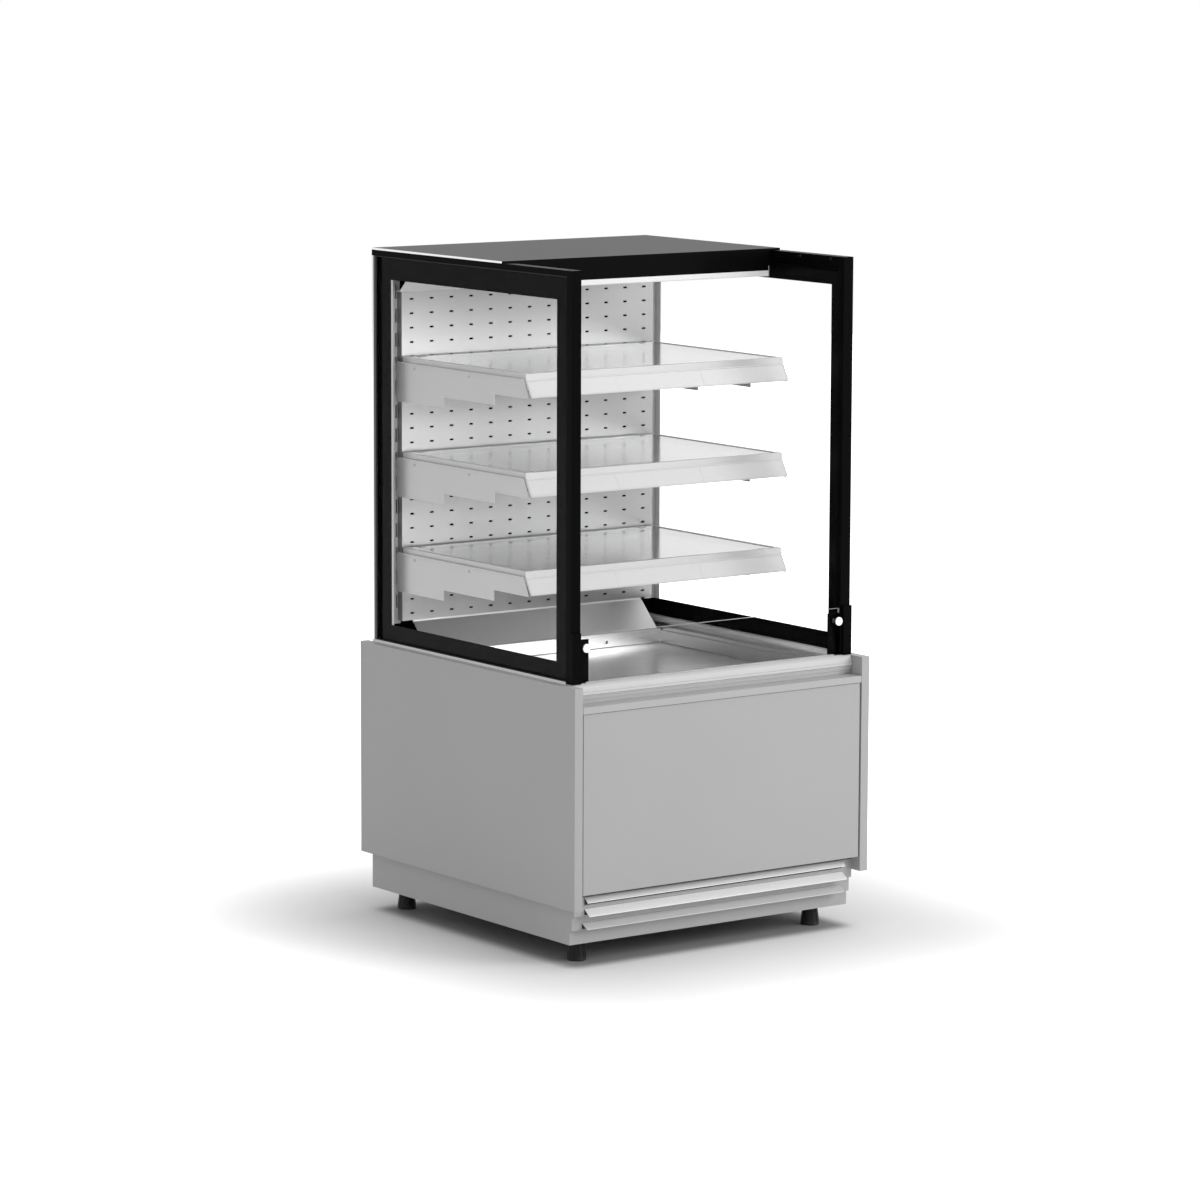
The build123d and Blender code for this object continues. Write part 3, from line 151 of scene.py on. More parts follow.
def moulded(name, dark, light, roughness=0.5, texture=700.0, gloss=0.35):
    """Moulded plastic with a fine spark-eroded texture."""
    finish = Finish(name, Specular_IOR_Level=gloss)
    grain = finish.grain(texture)
    finish.feed("Base Color", finish.tint(grain, dark, light))
    finish.feed("Roughness", roughness + grain * 0.15)
    finish.relief(grain, 0.0002, 0.35)
    return finish


def added(mesh, known):
    """The vertices that were added since those known ones."""
    return [v for v in mesh.verts if v not in known]


def prism(mesh, lower, upper):
    """A solid between two loops with as many points each."""
    loops = [[mesh.verts.new(p) for p in loop] for loop in (lower, upper)]
    mesh.faces.new(loops[0])
    mesh.faces.new(reversed(loops[1]))
    count = len(lower)
    for n in range(count):
        m = (n + 1) % count
        mesh.faces.new((loops[0][n], loops[1][n], loops[1][m], loops[0][m]))


def turned(mesh, profile, middle, turn=Matrix(), steps=32):
    """A solid turned from (radius, height) points about Z, then turned and moved to place."""
    known = set(mesh.verts)
    verts = [mesh.verts.new((r, 0.0, h)) for r, h in profile]
    edges = [mesh.edges.new(pair) for pair in zip(verts, verts[1:])]
    bmesh.ops.spin(
        mesh, geom=verts + edges, cent=(0, 0, 0), axis=(0, 0, 1), dvec=(0, 0, 0),
        angle=math.tau, steps=steps, use_merge=True, use_duplicate=False,
    )
    bmesh.ops.remove_doubles(mesh, verts=added(mesh, known), dist=1e-6)
    bmesh.ops.transform(mesh, matrix=Matrix.Translation(middle) @ turn, verts=added(mesh, known))


def finished(name, body, mesh, finish, smooth=30.0):
    """Turns finished mesh code into a piece that rides on a body."""
    bmesh.ops.recalc_face_normals(mesh, faces=mesh.faces)
    data = bpy.data.meshes.new(name)
    mesh.to_mesh(data)
    mesh.free()
    data.shade_smooth()
    data.set_sharp_from_angle(angle=math.radians(smooth))
    data.materials.append(finish.material)
    piece = bpy.data.objects.new(name, data)
    bpy.context.scene.collection.objects.link(piece)
    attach(piece, body)
    return piece


foot_black = Finish("foot_black", Specular_IOR_Level=0.25)
foot_grain = foot_black.grain(900.0)
foot_scuff = foot_black.ramp(foot_black.along("Z"), 0.012, 0.0) * foot_black.grain(60.0)
foot_black.feed("Base Color", foot_black.tint(foot_scuff, 0.008, 0.06))
foot_black.feed("Roughness", 0.4 + foot_grain * 0.2)
foot_black.relief(foot_grain, 0.0003, 0.4)
foot_black.dress("foot_front_left", "foot_front_right", "foot_rear_left", "foot_rear_right")
rib_count, rib_half = 10, 0.0011
rib_ends = ((0.0055, 0.0165, 0.0197), (0.0405, 0.0125, 0.0152))  # height, inner and outer radius
foot_rim = [(0.0180, 0.0004), (0.0193, 0.0008), (0.0197, 0.0035), (0.0186, 0.0052)]
for foot_body, foot_node in (
    ("foot_fl", "foot_front_left"), ("foot_fr", "foot_front_right"),
    ("foot_rl", "foot_rear_left"), ("foot_rr", "foot_rear_right"),
):
    foot_low, foot_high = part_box(foot_node)
    foot_middle = (foot_low + foot_high) / 2
    ribs = bmesh.new()
    for n in range(rib_count):
        spoke = Matrix.Rotation(math.tau * n / rib_count, 3, "Z")
        loops = []
        for level, inner, outer in rib_ends:
            loops.append([
                spoke @ Vector((r, s * rib_half, level)) + Vector((*foot_middle.xy, 0.0))
                for r, s in ((inner, -1), (outer, -1), (outer, 1), (inner, 1))
            ])
        prism(ribs, *loops)
    turned(ribs, foot_rim, (*foot_middle.xy, 0.0))
    finished(f"{foot_node}_ribs", foot_body, ribs, foot_black)


# Plinth: folded and coated light grey sheet, with three louvred steps at the front.
# The hoods of the air slots are coloured bright as a painted highlight on their lips, the upper
# panel's brighter than the lower.
def coated(name, dark, light, roughness=0.42, gloss=0.4):
    """Powder-coated sheet: slow tone drift, fine orange peel and a little grit."""
    finish = Finish(name, Specular_IOR_Level=gloss)
    drift = finish.grain(3.0, detail=2.0)
    peel = finish.grain(420.0, detail=1.0)
    specks = finish.ramp(finish.grain(1500.0, detail=0.0), 0.35, 0.75)
    finish.feed("Base Color", finish.tint(drift * 0.7 + specks * 0.3, dark, light))
    finish.feed("Roughness", roughness + peel * 0.1)
    finish.relief(peel, 0.0002, 0.25)
    return finish


plinth_grey = coated("plinth_grey", 0.39, 0.43)
plinth_grey.dress("plinth_frame", "kick_plate", eased=0.0006)
# Each sheet's front face, the level above which the sheet is painted near black as shade in the
# gap under the front panel, and the tone of the painted highlight on its hoods: the lower panel
# ends below the gap.
for louvre_name, louvre_face, gap_shade_level, hood_highlight_low in (
    ("louvre_panel_upper", -0.3605, 0.1437, 0.82), ("louvre_panel_lower", -0.3525, 0.2, 0.58),
):
    louvre_grey = Finish(f"{louvre_name}_grey", Specular_IOR_Level=0.5)
    on_hood = louvre_grey.along("Y") < louvre_face
    louvre_peel = louvre_grey.grain(420.0, detail=1.0)
    louvre_lines = louvre_grey.grain(900.0, (0.01, 1.0, 1.0))
    # Painted shade: above this level the sheet is coloured near black, for the shade in the gap
    # under the front panel.
    painted_gap_shade = louvre_grey.along("Z") > gap_shade_level
    sheet_and_shade_tone = louvre_grey.tint(painted_gap_shade, louvre_grey.tint(louvre_peel, 0.38, 0.42), 0.01)
    # Painted highlight: the hoods are coloured far lighter than the sheet, as if lit from above.
    hood_painted_highlight = louvre_grey.tint(louvre_lines, hood_highlight_low, hood_highlight_low + 0.10)
    louvre_grey.feed("Base Color", louvre_grey.tint(on_hood, sheet_and_shade_tone, hood_painted_highlight))
    louvre_grey.feed("Roughness", 0.42 - on_hood * 0.12 + louvre_lines * 0.08)
    louvre_grey.relief(louvre_peel, 0.0002, 0.25)
    louvre_grey.dress(louvre_name, eased=0.0004)


# Condenser: aluminium fins on copper tubes, whose bends stand out of the end plate.
# The bare fins are dull and slightly combed, the end plate is galvanised sheet.
def block(mesh, low, high, eased=0.0):
    """A block between two corners with its edges eased."""
    known = set(mesh.verts)
    low, high = Vector(low), Vector(high)
    bmesh.ops.create_cube(mesh, size=1.0)
    shape = Matrix.Translation((low + high) / 2) @ Matrix.Diagonal((*(high - low), 1.0))
    verts = added(mesh, known)
    bmesh.ops.transform(mesh, matrix=shape, verts=verts)
    if eased:
        edges = {e for v in verts for e in v.link_edges}
        bmesh.ops.bevel(
            mesh, geom=list(edges), offset=eased, segments=2, affect="EDGES", profile=0.5,
            material=-1,
        )


def wire_arc(mesh, radius, wire, place, angle=math.tau, steps=40, sides=8):
    """A round wire bent about Z, then put in its place: a whole ring or part of one."""
    known = set(mesh.verts)
    loop = [
        mesh.verts.new((
            radius + wire * math.cos(math.tau * n / sides), 0.0,
            wire * math.sin(math.tau * n / sides),
        ))
        for n in range(sides)
    ]
    edges = [mesh.edges.new((loop[n - 1], loop[n])) for n in range(sides)]
    bmesh.ops.spin(
        mesh, geom=loop + edges, cent=(0, 0, 0), axis=(0, 0, 1), dvec=(0, 0, 0), angle=angle,
        steps=steps, use_merge=angle == math.tau, use_duplicate=False,
    )
    bmesh.ops.transform(mesh, matrix=place, verts=added(mesh, known))


def metal(name, dark, light, roughness, scale, stretch=(1.0, 1.0, 1.0)):
    """Bare metal with lines or grain in its tone and gloss."""
    finish = Finish(name, Metallic=1.0)
    lines = finish.grain(scale, stretch)
    finish.feed("Base Color", finish.tint(lines, dark, light))
    finish.feed("Roughness", roughness + lines * 0.2)
    finish.relief(lines, 0.0002, 0.4)
    return finish


fin_metal = metal("fin_metal", 0.42, 0.62, 0.35, 260.0, (1.0, 1.0, 0.05))
fin_metal.dress("condenser", "evaporator")
copper = metal("copper", (0.42, 0.22, 0.14), (0.86, 0.46, 0.30), 0.18, 30.0)
copper.dress("refrigerant_pipes")


def coil_bends(name, node, side, rows):
    """Return bends on one end of a coil, between pairs of tubes, and a thin end plate."""
    low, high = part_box(node)
    end = high.x if side > 0 else low.x
    bends = bmesh.new()
    for depth in (0.3, 0.7):
        for row in range(rows):
            level = low.z + (high.z - low.z) * (0.6 + row) / (rows + 0.2)
            place = (
                Matrix.Translation((end, low.y + (high.y - low.y) * depth, level))
                @ Matrix.Rotation(-side * math.pi / 2, 4, "Y")
                @ Matrix.Rotation(math.pi / 2, 4, "X")
            )
            wire_arc(bends, 0.008, 0.0036, place, math.pi, 12)
    finished(f"{name}_bends", "case", bends, copper)
    plate = bmesh.new()
    block(
        plate, (end - 0.0006, low.y + 0.001, low.z + 0.001),
        (end + 0.0006, high.y - 0.001, high.z - 0.001), 0.0003,
    )
    finished(f"{name}_end_plate", "case", plate, galvanised)


galvanised = Finish("galvanised", Metallic=1.0)
spangle = galvanised.along(
    "X",
    galvanised.node(
        "ShaderNodeTexVoronoi", {}, {"Vector": galvanised.place(), "Scale": 90.0}, "Color"
    ),
)
galvanised.feed("Base Color", galvanised.tint(spangle, 0.42, 0.55))
galvanised.feed("Roughness", 0.34 + spangle * 0.14)
galvanised.relief(galvanised.grain(200.0), 0.0002, 0.3)
coil_bends("condenser", "condenser", -1, 8)

# Condenser fan: a moulded wheel in a galvanised shroud, behind a guard of plated wire.
# The guard's rings are welded to four spokes and clipped to the throat of the shroud.
galvanised.dress("fan_shroud", "evaporator_fan_plate", "condensate_tray", eased=0.0003)
fan_black = moulded("fan_black", 0.012, 0.026)
plated = metal("plated", 0.50, 0.72, 0.22, 120.0)
facing_back = Matrix.Rotation(-math.pi / 2, 4, "X")


def fan_guard(name, middle, radii, wire):
    """Concentric rings and four spokes across the throat of a fan."""
    guard = bmesh.new()
    for radius in radii:
        wire_arc(guard, radius, wire, Matrix.Translation(middle) @ facing_back, steps=56)
    for n in range(4):
        spoke = Matrix.Rotation(math.pi / 4 + math.pi / 2 * n, 4, "Y")
        bmesh.ops.create_cone(
            guard, cap_ends=True, segments=8, radius1=wire, radius2=wire,
            depth=radii[-1] - radii[0],
            matrix=Matrix.Translation(middle) @ spoke
            @ Matrix.Translation((0, 2 * wire, (radii[-1] + radii[0]) / 2)),
        )
    finished(name, "case", guard, plated)


fan_low, fan_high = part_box("condenser_fan")
fan_middle = (fan_low + fan_high) / 2
guard_face = -0.1823
fan_guard(
    "condenser_fan_guard", (fan_middle.x, guard_face, fan_middle.z),
    (0.046, 0.063, 0.080, 0.097, 0.1135), 0.0011,
)

# Slot shade: a black mat behind each of the three air slots, put there as painted shade so that
# the slots show black.
# They are thin black sheets just behind the louvred steps.
mat_half, mat_thickness = 0.3298, 0.0008
slot_shade_mats = bmesh.new()
for mat_face, mat_level, mat_height in (
    (-0.3579, 0.1270, 0.015), (-0.3579, 0.1065, 0.012), (-0.3499, 0.0765, 0.012),
):
    block(
        slot_shade_mats, (-mat_half, mat_face, mat_level),
        (mat_half, mat_face + mat_thickness, mat_level + mat_height),
    )
finished("slot_shade_mats", "case", slot_shade_mats, fan_black)

# Compressor: a drawn steel shell in gloss black enamel, welded round its middle.
# It stands on rubber grommets held by flanged bolts, with a copper process tube.
compressor_black = coated("compressor_black", 0.012, 0.03, 0.22)
compressor_black.dress("compressor")
rubber = moulded("rubber", 0.018, 0.032, 0.7, 500.0, 0.2)
shell_x, shell_y = 0.170, 0.1325
shell_radius, weld_radius, weld_level = 0.0738, 0.0016, 0.158
shell_weld = bmesh.new()
weld_place = Matrix.Translation((shell_x, shell_y, weld_level))
wire_arc(shell_weld, shell_radius, weld_radius, weld_place, steps=72)
finished("compressor_weld", "case", shell_weld, compressor_black)
base_level = 0.065
grommet_shape = [(0.0, 0.0), (0.011, 0.0), (0.012, 0.002), (0.0105, 0.0045), (0.0, 0.005)]
washer_shape = [(0.0, 0.005), (0.0085, 0.005), (0.0085, 0.0062), (0.006, 0.0066)]
bolt_shape = [(0.0062, 0.0062), (0.0062, 0.0105), (0.0052, 0.0115), (0.0, 0.0115)]
grommets = bmesh.new()
bolts = bmesh.new()
for bolt_x in (-0.085, 0.085):
    for bolt_y in (-0.05, 0.05):
        bolt = Vector((shell_x + bolt_x, shell_y + bolt_y, base_level))
        turned(grommets, grommet_shape, bolt)
        turned(bolts, washer_shape, bolt)
        turned(bolts, bolt_shape, bolt, steps=6)
finished("compressor_grommets", "case", grommets, rubber)
finished("compressor_bolts", "case", bolts, plated)
process_tube = bmesh.new()
tube_bend, tube_radius = 0.018, 0.0032
tube_place = Matrix.Translation((shell_x - 0.0755, shell_y + 0.01, 0.178))
wire_arc(
    process_tube, tube_bend, tube_radius, tube_place @ Matrix.Rotation(math.pi / 2, 4, "X"),
    -math.pi / 2, 12,
)
finished("process_tube", "case", process_tube, copper)

# Cabinet behind: foam tank with a thin hard skin, closed at the back by riveted edge strips.
# The skin is slightly uneven from the mould and dull white.
tank_skin = moulded("tank_skin", 0.62, 0.70, 0.45, 60.0)
tank_skin.dress("insulated_tank")
coil_bends("evaporator", "evaporator", -1, 3)
cold_low, cold_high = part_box("evaporator_fan")
cold_middle = (cold_low + cold_high) / 2
cold_guard_face = 0.1109
fan_guard(
    "evaporator_fan_guard", (0.0, cold_guard_face, cold_middle.z),
    (0.022, 0.034, 0.046, 0.0605), 0.0009,
)


def screws(name, body, places, turn, radius, finish):
    """Pan-head screws with a socket recess, all facing one way."""
    profile = [
        (0.0, 0.25), (0.38, 0.25), (0.42, 0.6), (0.75, 0.5), (1.0, 0.1), (1.0, 0.0), (0.0, 0.0),
    ]
    head = [(r * radius, h * radius) for r, h in profile]
    heads = bmesh.new()
    for place in places:
        turned(heads, head, place, turn, 18)
    finished(name, body, heads, finish)


tank_low, tank_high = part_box("insulated_tank")
strip_thickness, strip_height, strip_inset = 0.0012, 0.014, 0.004
strip_levels = (0.3465, 0.5505)
rivet_pitch = 0.083
edge_strip = bmesh.new()
for strip_z in strip_levels:
    block(
        edge_strip, (tank_low.x + strip_inset, tank_high.y, strip_z),
        (tank_high.x - strip_inset, tank_high.y + strip_thickness, strip_z + strip_height),
        0.0004,
    )
finished("tank_edge_strips", "case", edge_strip, galvanised)
screws(
    "tank_rivets", "case",
    [(n * rivet_pitch, tank_high.y + strip_thickness, strip_z + strip_height / 2)
     for n in range(-4, 5) for strip_z in strip_levels],
    facing_back, 0.0032, plated,
)

# Back of the machine space: a vented galvanised cover, and a fixed plate for the controls.
# Both are held by plated pan-head screws.
galvanised.dress("rear_cover", "control_panel", eased=0.0002)
cover_low, cover_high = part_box("rear_cover")
edge_inset, panel_screw = 0.012, 0.0042
screws(
    "rear_cover_screws", "rear_cover",
    [(x, cover_high.y, z) for x in (cover_low.x + edge_inset, -0.08, cover_high.x - edge_inset)
     for z in (cover_low.z + edge_inset, cover_high.z - edge_inset)],
    facing_back, panel_screw, plated,
)
plate_low, plate_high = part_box("control_panel")
screws(
    "control_panel_screws", "case",
    [(x, plate_high.y, z) for x in (plate_low.x + 0.010, plate_high.x - 0.010)
     for z in (plate_low.z + edge_inset, plate_high.z - edge_inset)],
    facing_back, panel_screw, plated,
)

# Controller: a black snap-in bezel with a smoked window and two soft grey keys.
# The window hides a dark display, with two small lamps beside it, and all are unlit here.
control_black = moulded("control_black", 0.015, 0.028, 0.38)
control_black.dress("controller", "power_inlet")
key_grey = moulded("key_grey", 0.10, 0.14, 0.4)
key_grey.dress("key_up", "key_down", "light_switch")
smoked = moulded("smoked", 0.006, 0.012, 0.08, 90.0, 0.6)
controller_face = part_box("controller")[1].y
window = bmesh.new()
block(
    window, (0.2432, controller_face - 0.0009, 0.2752),
    (0.2848, controller_face - 0.0002, 0.2948), 0.0002,
)
finished("display_window", "case", window, smoked)
lamp_red = moulded("lamp_red", (0.30, 0.02, 0.02), (0.42, 0.03, 0.03), 0.2, 400.0, 0.5)
indicator = bmesh.new()
lamp_shape = [(0.0, 0.0), (0.0016, 0.0), (0.0014, 0.0005), (0.0, 0.0009)]
lamp_x = 0.2905
for lamp_z in (0.281, 0.289):
    turned(indicator, lamp_shape, (lamp_x, controller_face, lamp_z), facing_back, 16)
finished("indicator_lamps", "case", indicator, lamp_red)
inlet_pins = bmesh.new()
inlet_x, pin_root, pin_tip = 0.273, 0.3576, 0.3706
pin_half, pin_rise = 0.00112, 0.00212
for pin_x, pin_z in ((-0.007, 0.100), (0.0, 0.104), (0.007, 0.100)):
    block(
        inlet_pins, (inlet_x + pin_x - pin_half, pin_root, pin_z - pin_rise),
        (inlet_x + pin_x + pin_half, pin_tip, pin_z + pin_rise), 0.0004,
    )
finished("inlet_pins", "case", inlet_pins, plated)

# Side boards and front panel: grey melamine-faced boards with a fine even speckle.
# Their square edges are banded in the same grey and lightly rounded.
board_grey = coated("board_grey", 0.385, 0.425, 0.45)
board_grey.dress("side_board_left", "side_board_right", "front_panel")


# Ledge strip and counter profile: aluminium, satin anodised in light grey.
# The drawing lines run along their length, which is the width of the case.
def drawn(name, dark, light, along, roughness=0.3, metallic=0.85):
    """Anodised metal with fine lines along the way it was drawn or brushed."""
    finish = Finish(name, Metallic=metallic)
    lines = finish.grain(900.0, along)
    drift = finish.grain(6.0, detail=1.0)
    finish.feed("Base Color", finish.tint(lines * 0.5 + drift * 0.5, dark, light))
    finish.feed("Roughness", roughness + lines * 0.16)
    finish.relief(lines, 0.00015, 0.3)
    return finish


across = (0.02, 1.0, 1.0)
anodised = drawn("anodised", 0.37, 0.41, across, 0.36, 0.15)
anodised.dress("ledge_strip", eased=0.0006)
rim_satin = Finish("rim_satin", Metallic=0.05)
rim_lines = rim_satin.grain(900.0, across)
# Painted light: faces that stand upright or look down, along the nose, are coloured lighter than
# the top, as if lit from the front.
nose_painted_light = rim_satin.ramp(
    rim_satin.along("Z", rim_satin.node("ShaderNodeTexCoord", {}, {}, "Normal")), 0.5, -0.1
)
rim_tone = rim_satin.tint(rim_lines, 0.42, 0.46)
nose_lit_tone = rim_satin.tint(rim_lines, 0.60, 0.66)
rim_satin.feed("Base Color", rim_satin.tint(nose_painted_light, rim_tone, nose_lit_tone))
rim_satin.feed("Roughness", 0.36 + rim_lines * 0.16)
rim_satin.relief(rim_lines, 0.00015, 0.08)
rim_satin.dress("counter_profile")

# Display well: polished stainless sheet with a grille, and a satin deflector up to the panel.
# The sheet is brushed along the width, and a clear bead seals each inside corner.
stainless = Finish("stainless", Metallic=1.0)
stainless_lines = stainless.grain(900.0, across)
stainless.feed("Base Color", stainless.tint(stainless_lines, 0.72, 0.78))
stainless.feed("Roughness", 0.24 + stainless_lines * 0.10)
stainless.relief(stainless_lines, 0.0001, 0.05)
stainless.dress("deck_pan", "return_air_grille")
drawn("deflector_satin", 0.58, 0.66, across, 0.34, 0.9).dress("air_deflector")
sealant = Finish("sealant", Alpha=0.75)
sealant_tone = sealant.grain(40.0)
sealant.feed("Base Color", sealant.tint(sealant_tone, 0.45, 0.62))
sealant.feed("Roughness", 0.3 + sealant_tone * 0.2)
well_beads = bmesh.new()
well_low, well_high = Vector((-0.3, -0.2525, 0.529)), Vector((0.3, 0.2365, 0.559))


def bead(mesh, start, end, first, second):
    """A thin fillet of sealant or rubber along a corner, between two faces."""
    corner = [(0.0, 0.0), (1.0, 0.0), (0.55, 0.55), (0.0, 1.0)]
    prism(mesh, *[
        [Vector(at) + Vector(first) * a + Vector(second) * b for a, b in corner]
        for at in (start, end)
    ])


bead_leg = 0.0016
for x, turn_in in ((well_low.x, bead_leg), (well_high.x, -bead_leg)):
    bead(
        well_beads, (x, well_low.y + 0.002, well_low.z), (x, well_high.y - 0.001, well_low.z),
        (turn_in, 0, 0), (0, 0, bead_leg),
    )
bead(
    well_beads, (well_low.x, well_high.y, well_low.z), (well_high.x, well_high.y, well_low.z),
    (0, -bead_leg, 0), (0, 0, bead_leg),
)
finished("well_beads", "case", well_beads, sealant)

# Back of the cold space: bright satin sheet with punched slots, on a black rear wall.
# The uprights beside it are coated light grey, with a column of hook slots each, and a
# flange of the same sheet closes the gap between each upright and its pane.
liner_bright = drawn("liner_bright", 0.28, 0.32, across, 0.26, 0.85)
liner_bright.dress("perforated_panel")
upright_metal = coated("upright_metal", 0.68, 0.76, 0.35)
upright_metal.dress("shelf_uprights", eased=0.0005)
upright_low, upright_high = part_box("shelf_uprights")
flanges = bmesh.new()
flange_x, flange_half, flange_reach, flange_lap = 0.3460, 0.0006, 0.0165, 0.010
for side in (-1, 1):
    block(
        flanges,
        (side * flange_x - flange_half, upright_low.y - flange_reach, upright_low.z),
        (side * flange_x + flange_half, upright_low.y + flange_lap, upright_high.z), 0.0003,
    )
finished("upright_flanges", "case", flanges, upright_metal)
wall_black = coated("wall_black", 0.003, 0.006, 0.45, 0.03)
wall_black.dress("rear_wall", eased=0.0006)
wall_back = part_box("rear_wall")[1].y
wall_screw_x, wall_screw_start, wall_screw_pitch = 0.315, 0.62, 0.17
screws(
    "rear_wall_screws", "case",
    [(side * wall_screw_x, wall_back, wall_screw_start + wall_screw_pitch * n)
     for side in (-1, 1) for n in range(5)],
    facing_back, panel_screw, plated,
)

# Glazing profiles and clamps: extruded aluminium, powder-coated satin black, but for the pale
# rails under the side panes, and the rear posts, which are coloured bright silver metal behind
# their front strip.
# Black rubber seals the panes in their grooves, and small screws hold the corners.
frame_black = coated("frame_black", 0.0018, 0.004, 0.28, 0.015)
frame_black.dress("front_posts", "top_rails", "glass_clamps", eased=0.0005)
corner_front, coated_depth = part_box("rear_posts")[0].y, 0.008
corner_black = Finish("corner_black", Roughness=0.2)
corner_bright = corner_black.along("Y") > corner_front + coated_depth
corner_lines = corner_black.grain(900.0, (1.0, 1.0, 0.01))
corner_silver = corner_black.tint(corner_lines, 0.55, 0.75)
corner_black.feed("Base Color", corner_black.tint(corner_bright, 0.003, corner_silver))
corner_black.feed("Metallic", corner_bright)
corner_black.dress("rear_posts", eased=0.0005)
bright_rail = drawn("bright_rail", 0.84, 0.94, (1.0, 0.01, 1.0), 0.12, 1.0)
rail_white = coated("rail_white", 0.86, 0.92, 0.3)
rail_white.dress("base_rails", eased=0.0004)
pane_low, pane_high = Vector((0.347, -0.3285, 0.577)), Vector((0.353, 0.3555, 1.384))
seals = bmesh.new()
seal_out, seal_leg = 0.0012, 0.0018
y0, y1, z0, z1 = pane_low.y, pane_high.y, pane_low.z, pane_high.z
for side in (-1, 1):
    for x, lean in ((pane_high.x * side, side), (pane_low.x * side, -side)):
        out = (seal_out * lean, 0, 0)
        bead(seals, (x, y0, z0), (x, y0, z1), out, (0, seal_leg, 0))
        bead(seals, (x, y1, z0), (x, y1, z1), out, (0, -seal_leg, 0))
        bead(seals, (x, y0, z0), (x, y1, z0), out, (0, 0, seal_leg))
        bead(seals, (x, y0, z1), (x, y1, z1), out, (0, 0, -seal_leg))
finished("pane_seals", "case", seals, rubber)
rail_screw_x, rail_screw_level = 0.331, 1.390
for side, side_name in ((-1, "left"), (1, "right")):
    screws(
        f"rail_screws_{side_name}", "case",
        [(side * rail_screw_x, y, rail_screw_level) for y in (-0.30, -0.2, 0.0, 0.2)],
        Matrix.Rotation(-side * math.pi / 2, 4, "Y"), 0.0026, rubber,
    )

# Pane stays: a black coated strip along the top of each side pane, from post to fascia.
# It carries the glass between the canopy and the front post.
stay_top, stay_height, stay_x, stay_half = 1.3735, 0.0095, 0.3449, 0.0015
canopy_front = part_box("canopy")[0].y
post_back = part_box("front_posts")[1].y
stays = bmesh.new()
for side in (-1, 1):
    block(
        stays, (side * stay_x - stay_half, post_back, stay_top - stay_height),
        (side * stay_x + stay_half, canopy_front, stay_top), 0.0005,
    )
finished("pane_stays", "case", stays, frame_black)

# Canopy: a glossy black roof plate, with a painted highlight along its side edges, which are
# coloured bright metal, over a pale soffit which slopes to the panel.
# A crate of thin strips over the soffit's slots straightens the falling curtain of air.
canopy_black = Finish("canopy_black", Specular_IOR_Level=0.0)
canopy_side = canopy_black.along("X")
rim_x = 0.3537
# Painted highlight: the outer band of each side edge is coloured bright metal.
canopy_rim_highlight = (canopy_side * canopy_side) > rim_x * rim_x
canopy_peel = canopy_black.grain(420.0, detail=1.0)
canopy_coat = canopy_black.tint(canopy_peel, 0.002, 0.004)
canopy_black.feed("Base Color", canopy_black.tint(canopy_rim_highlight, canopy_coat, 0.75))
canopy_black.feed("Metallic", canopy_rim_highlight)
canopy_black.feed("Roughness", 0.3 + canopy_peel * 0.1)
canopy_black.relief(canopy_peel, 0.0002, 0.25)
canopy_normal = canopy_black.node("ShaderNodeTexCoord", {}, {}, "Normal")
canopy_black.feed("Coat Weight", 0.06 + (canopy_black.along("Z", canopy_normal) > 0.5) * 0.33)
canopy_black.shader.inputs["Coat Roughness"].default_value = 0.22
canopy_black.dress("canopy", eased=0.0008)
soffit_grey = coated("soffit_grey", 0.88, 0.94, 0.3)
soffit_grey.dress("canopy_soffit", eased=0.0003)
soffit_low, soffit_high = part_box("canopy_soffit")
straightener = bmesh.new()
crate_y0, crate_y1, crate_z0 = soffit_low.y + 0.014, soffit_low.y + 0.066, 1.3542
crate_z1, slat_half = crate_z0 + 0.009, 0.0002
long_slats, cross_slats = 6, 62
for n in range(long_slats):
    y = crate_y0 + (crate_y1 - crate_y0) * n / (long_slats - 1)
    block(
        straightener, (soffit_low.x + 0.004, y - slat_half, crate_z0),
        (soffit_high.x - 0.004, y + slat_half, crate_z1),
    )
for n in range(cross_slats):
    x = soffit_low.x + 0.005 + (soffit_high.x - soffit_low.x - 0.010) * n / (cross_slats - 1)
    block(
        straightener, (x - slat_half, crate_y0, crate_z0), (x + slat_half, crate_y1, crate_z1),
    )
finished("air_straightener", "case", straightener, galvanised)

# Light: an aluminium carrier and an opal cover over a row of white diodes.
# The cover is even along its length and shut by a moulded cap at each end.
bright_rail.dress("light_housing", eased=0.0003)
opal = moulded("opal", 0.70, 0.78, 0.3, 200.0)
opal.shader.inputs["Emission Color"].default_value = (1.0, 1.0, 1.0, 1.0)
opal.shader.inputs["Emission Strength"].default_value = 0.08
opal.dress("light_diffuser")
cap_grey = moulded("cap_grey", 0.35, 0.45, 0.4)
light_low, light_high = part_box("light_diffuser")
light_caps = bmesh.new()
for x0, x1 in (
    (light_low.x - 0.0016, light_low.x + 0.0008), (light_high.x - 0.0008, light_high.x + 0.0016),
):
    block(
        light_caps, (x0, light_low.y - 0.0003, light_low.z - 0.0004),
        (x1, light_high.y + 0.0003, light_high.z + 0.010), 0.0007,
    )
finished("light_end_caps", "case", light_caps, cap_grey)


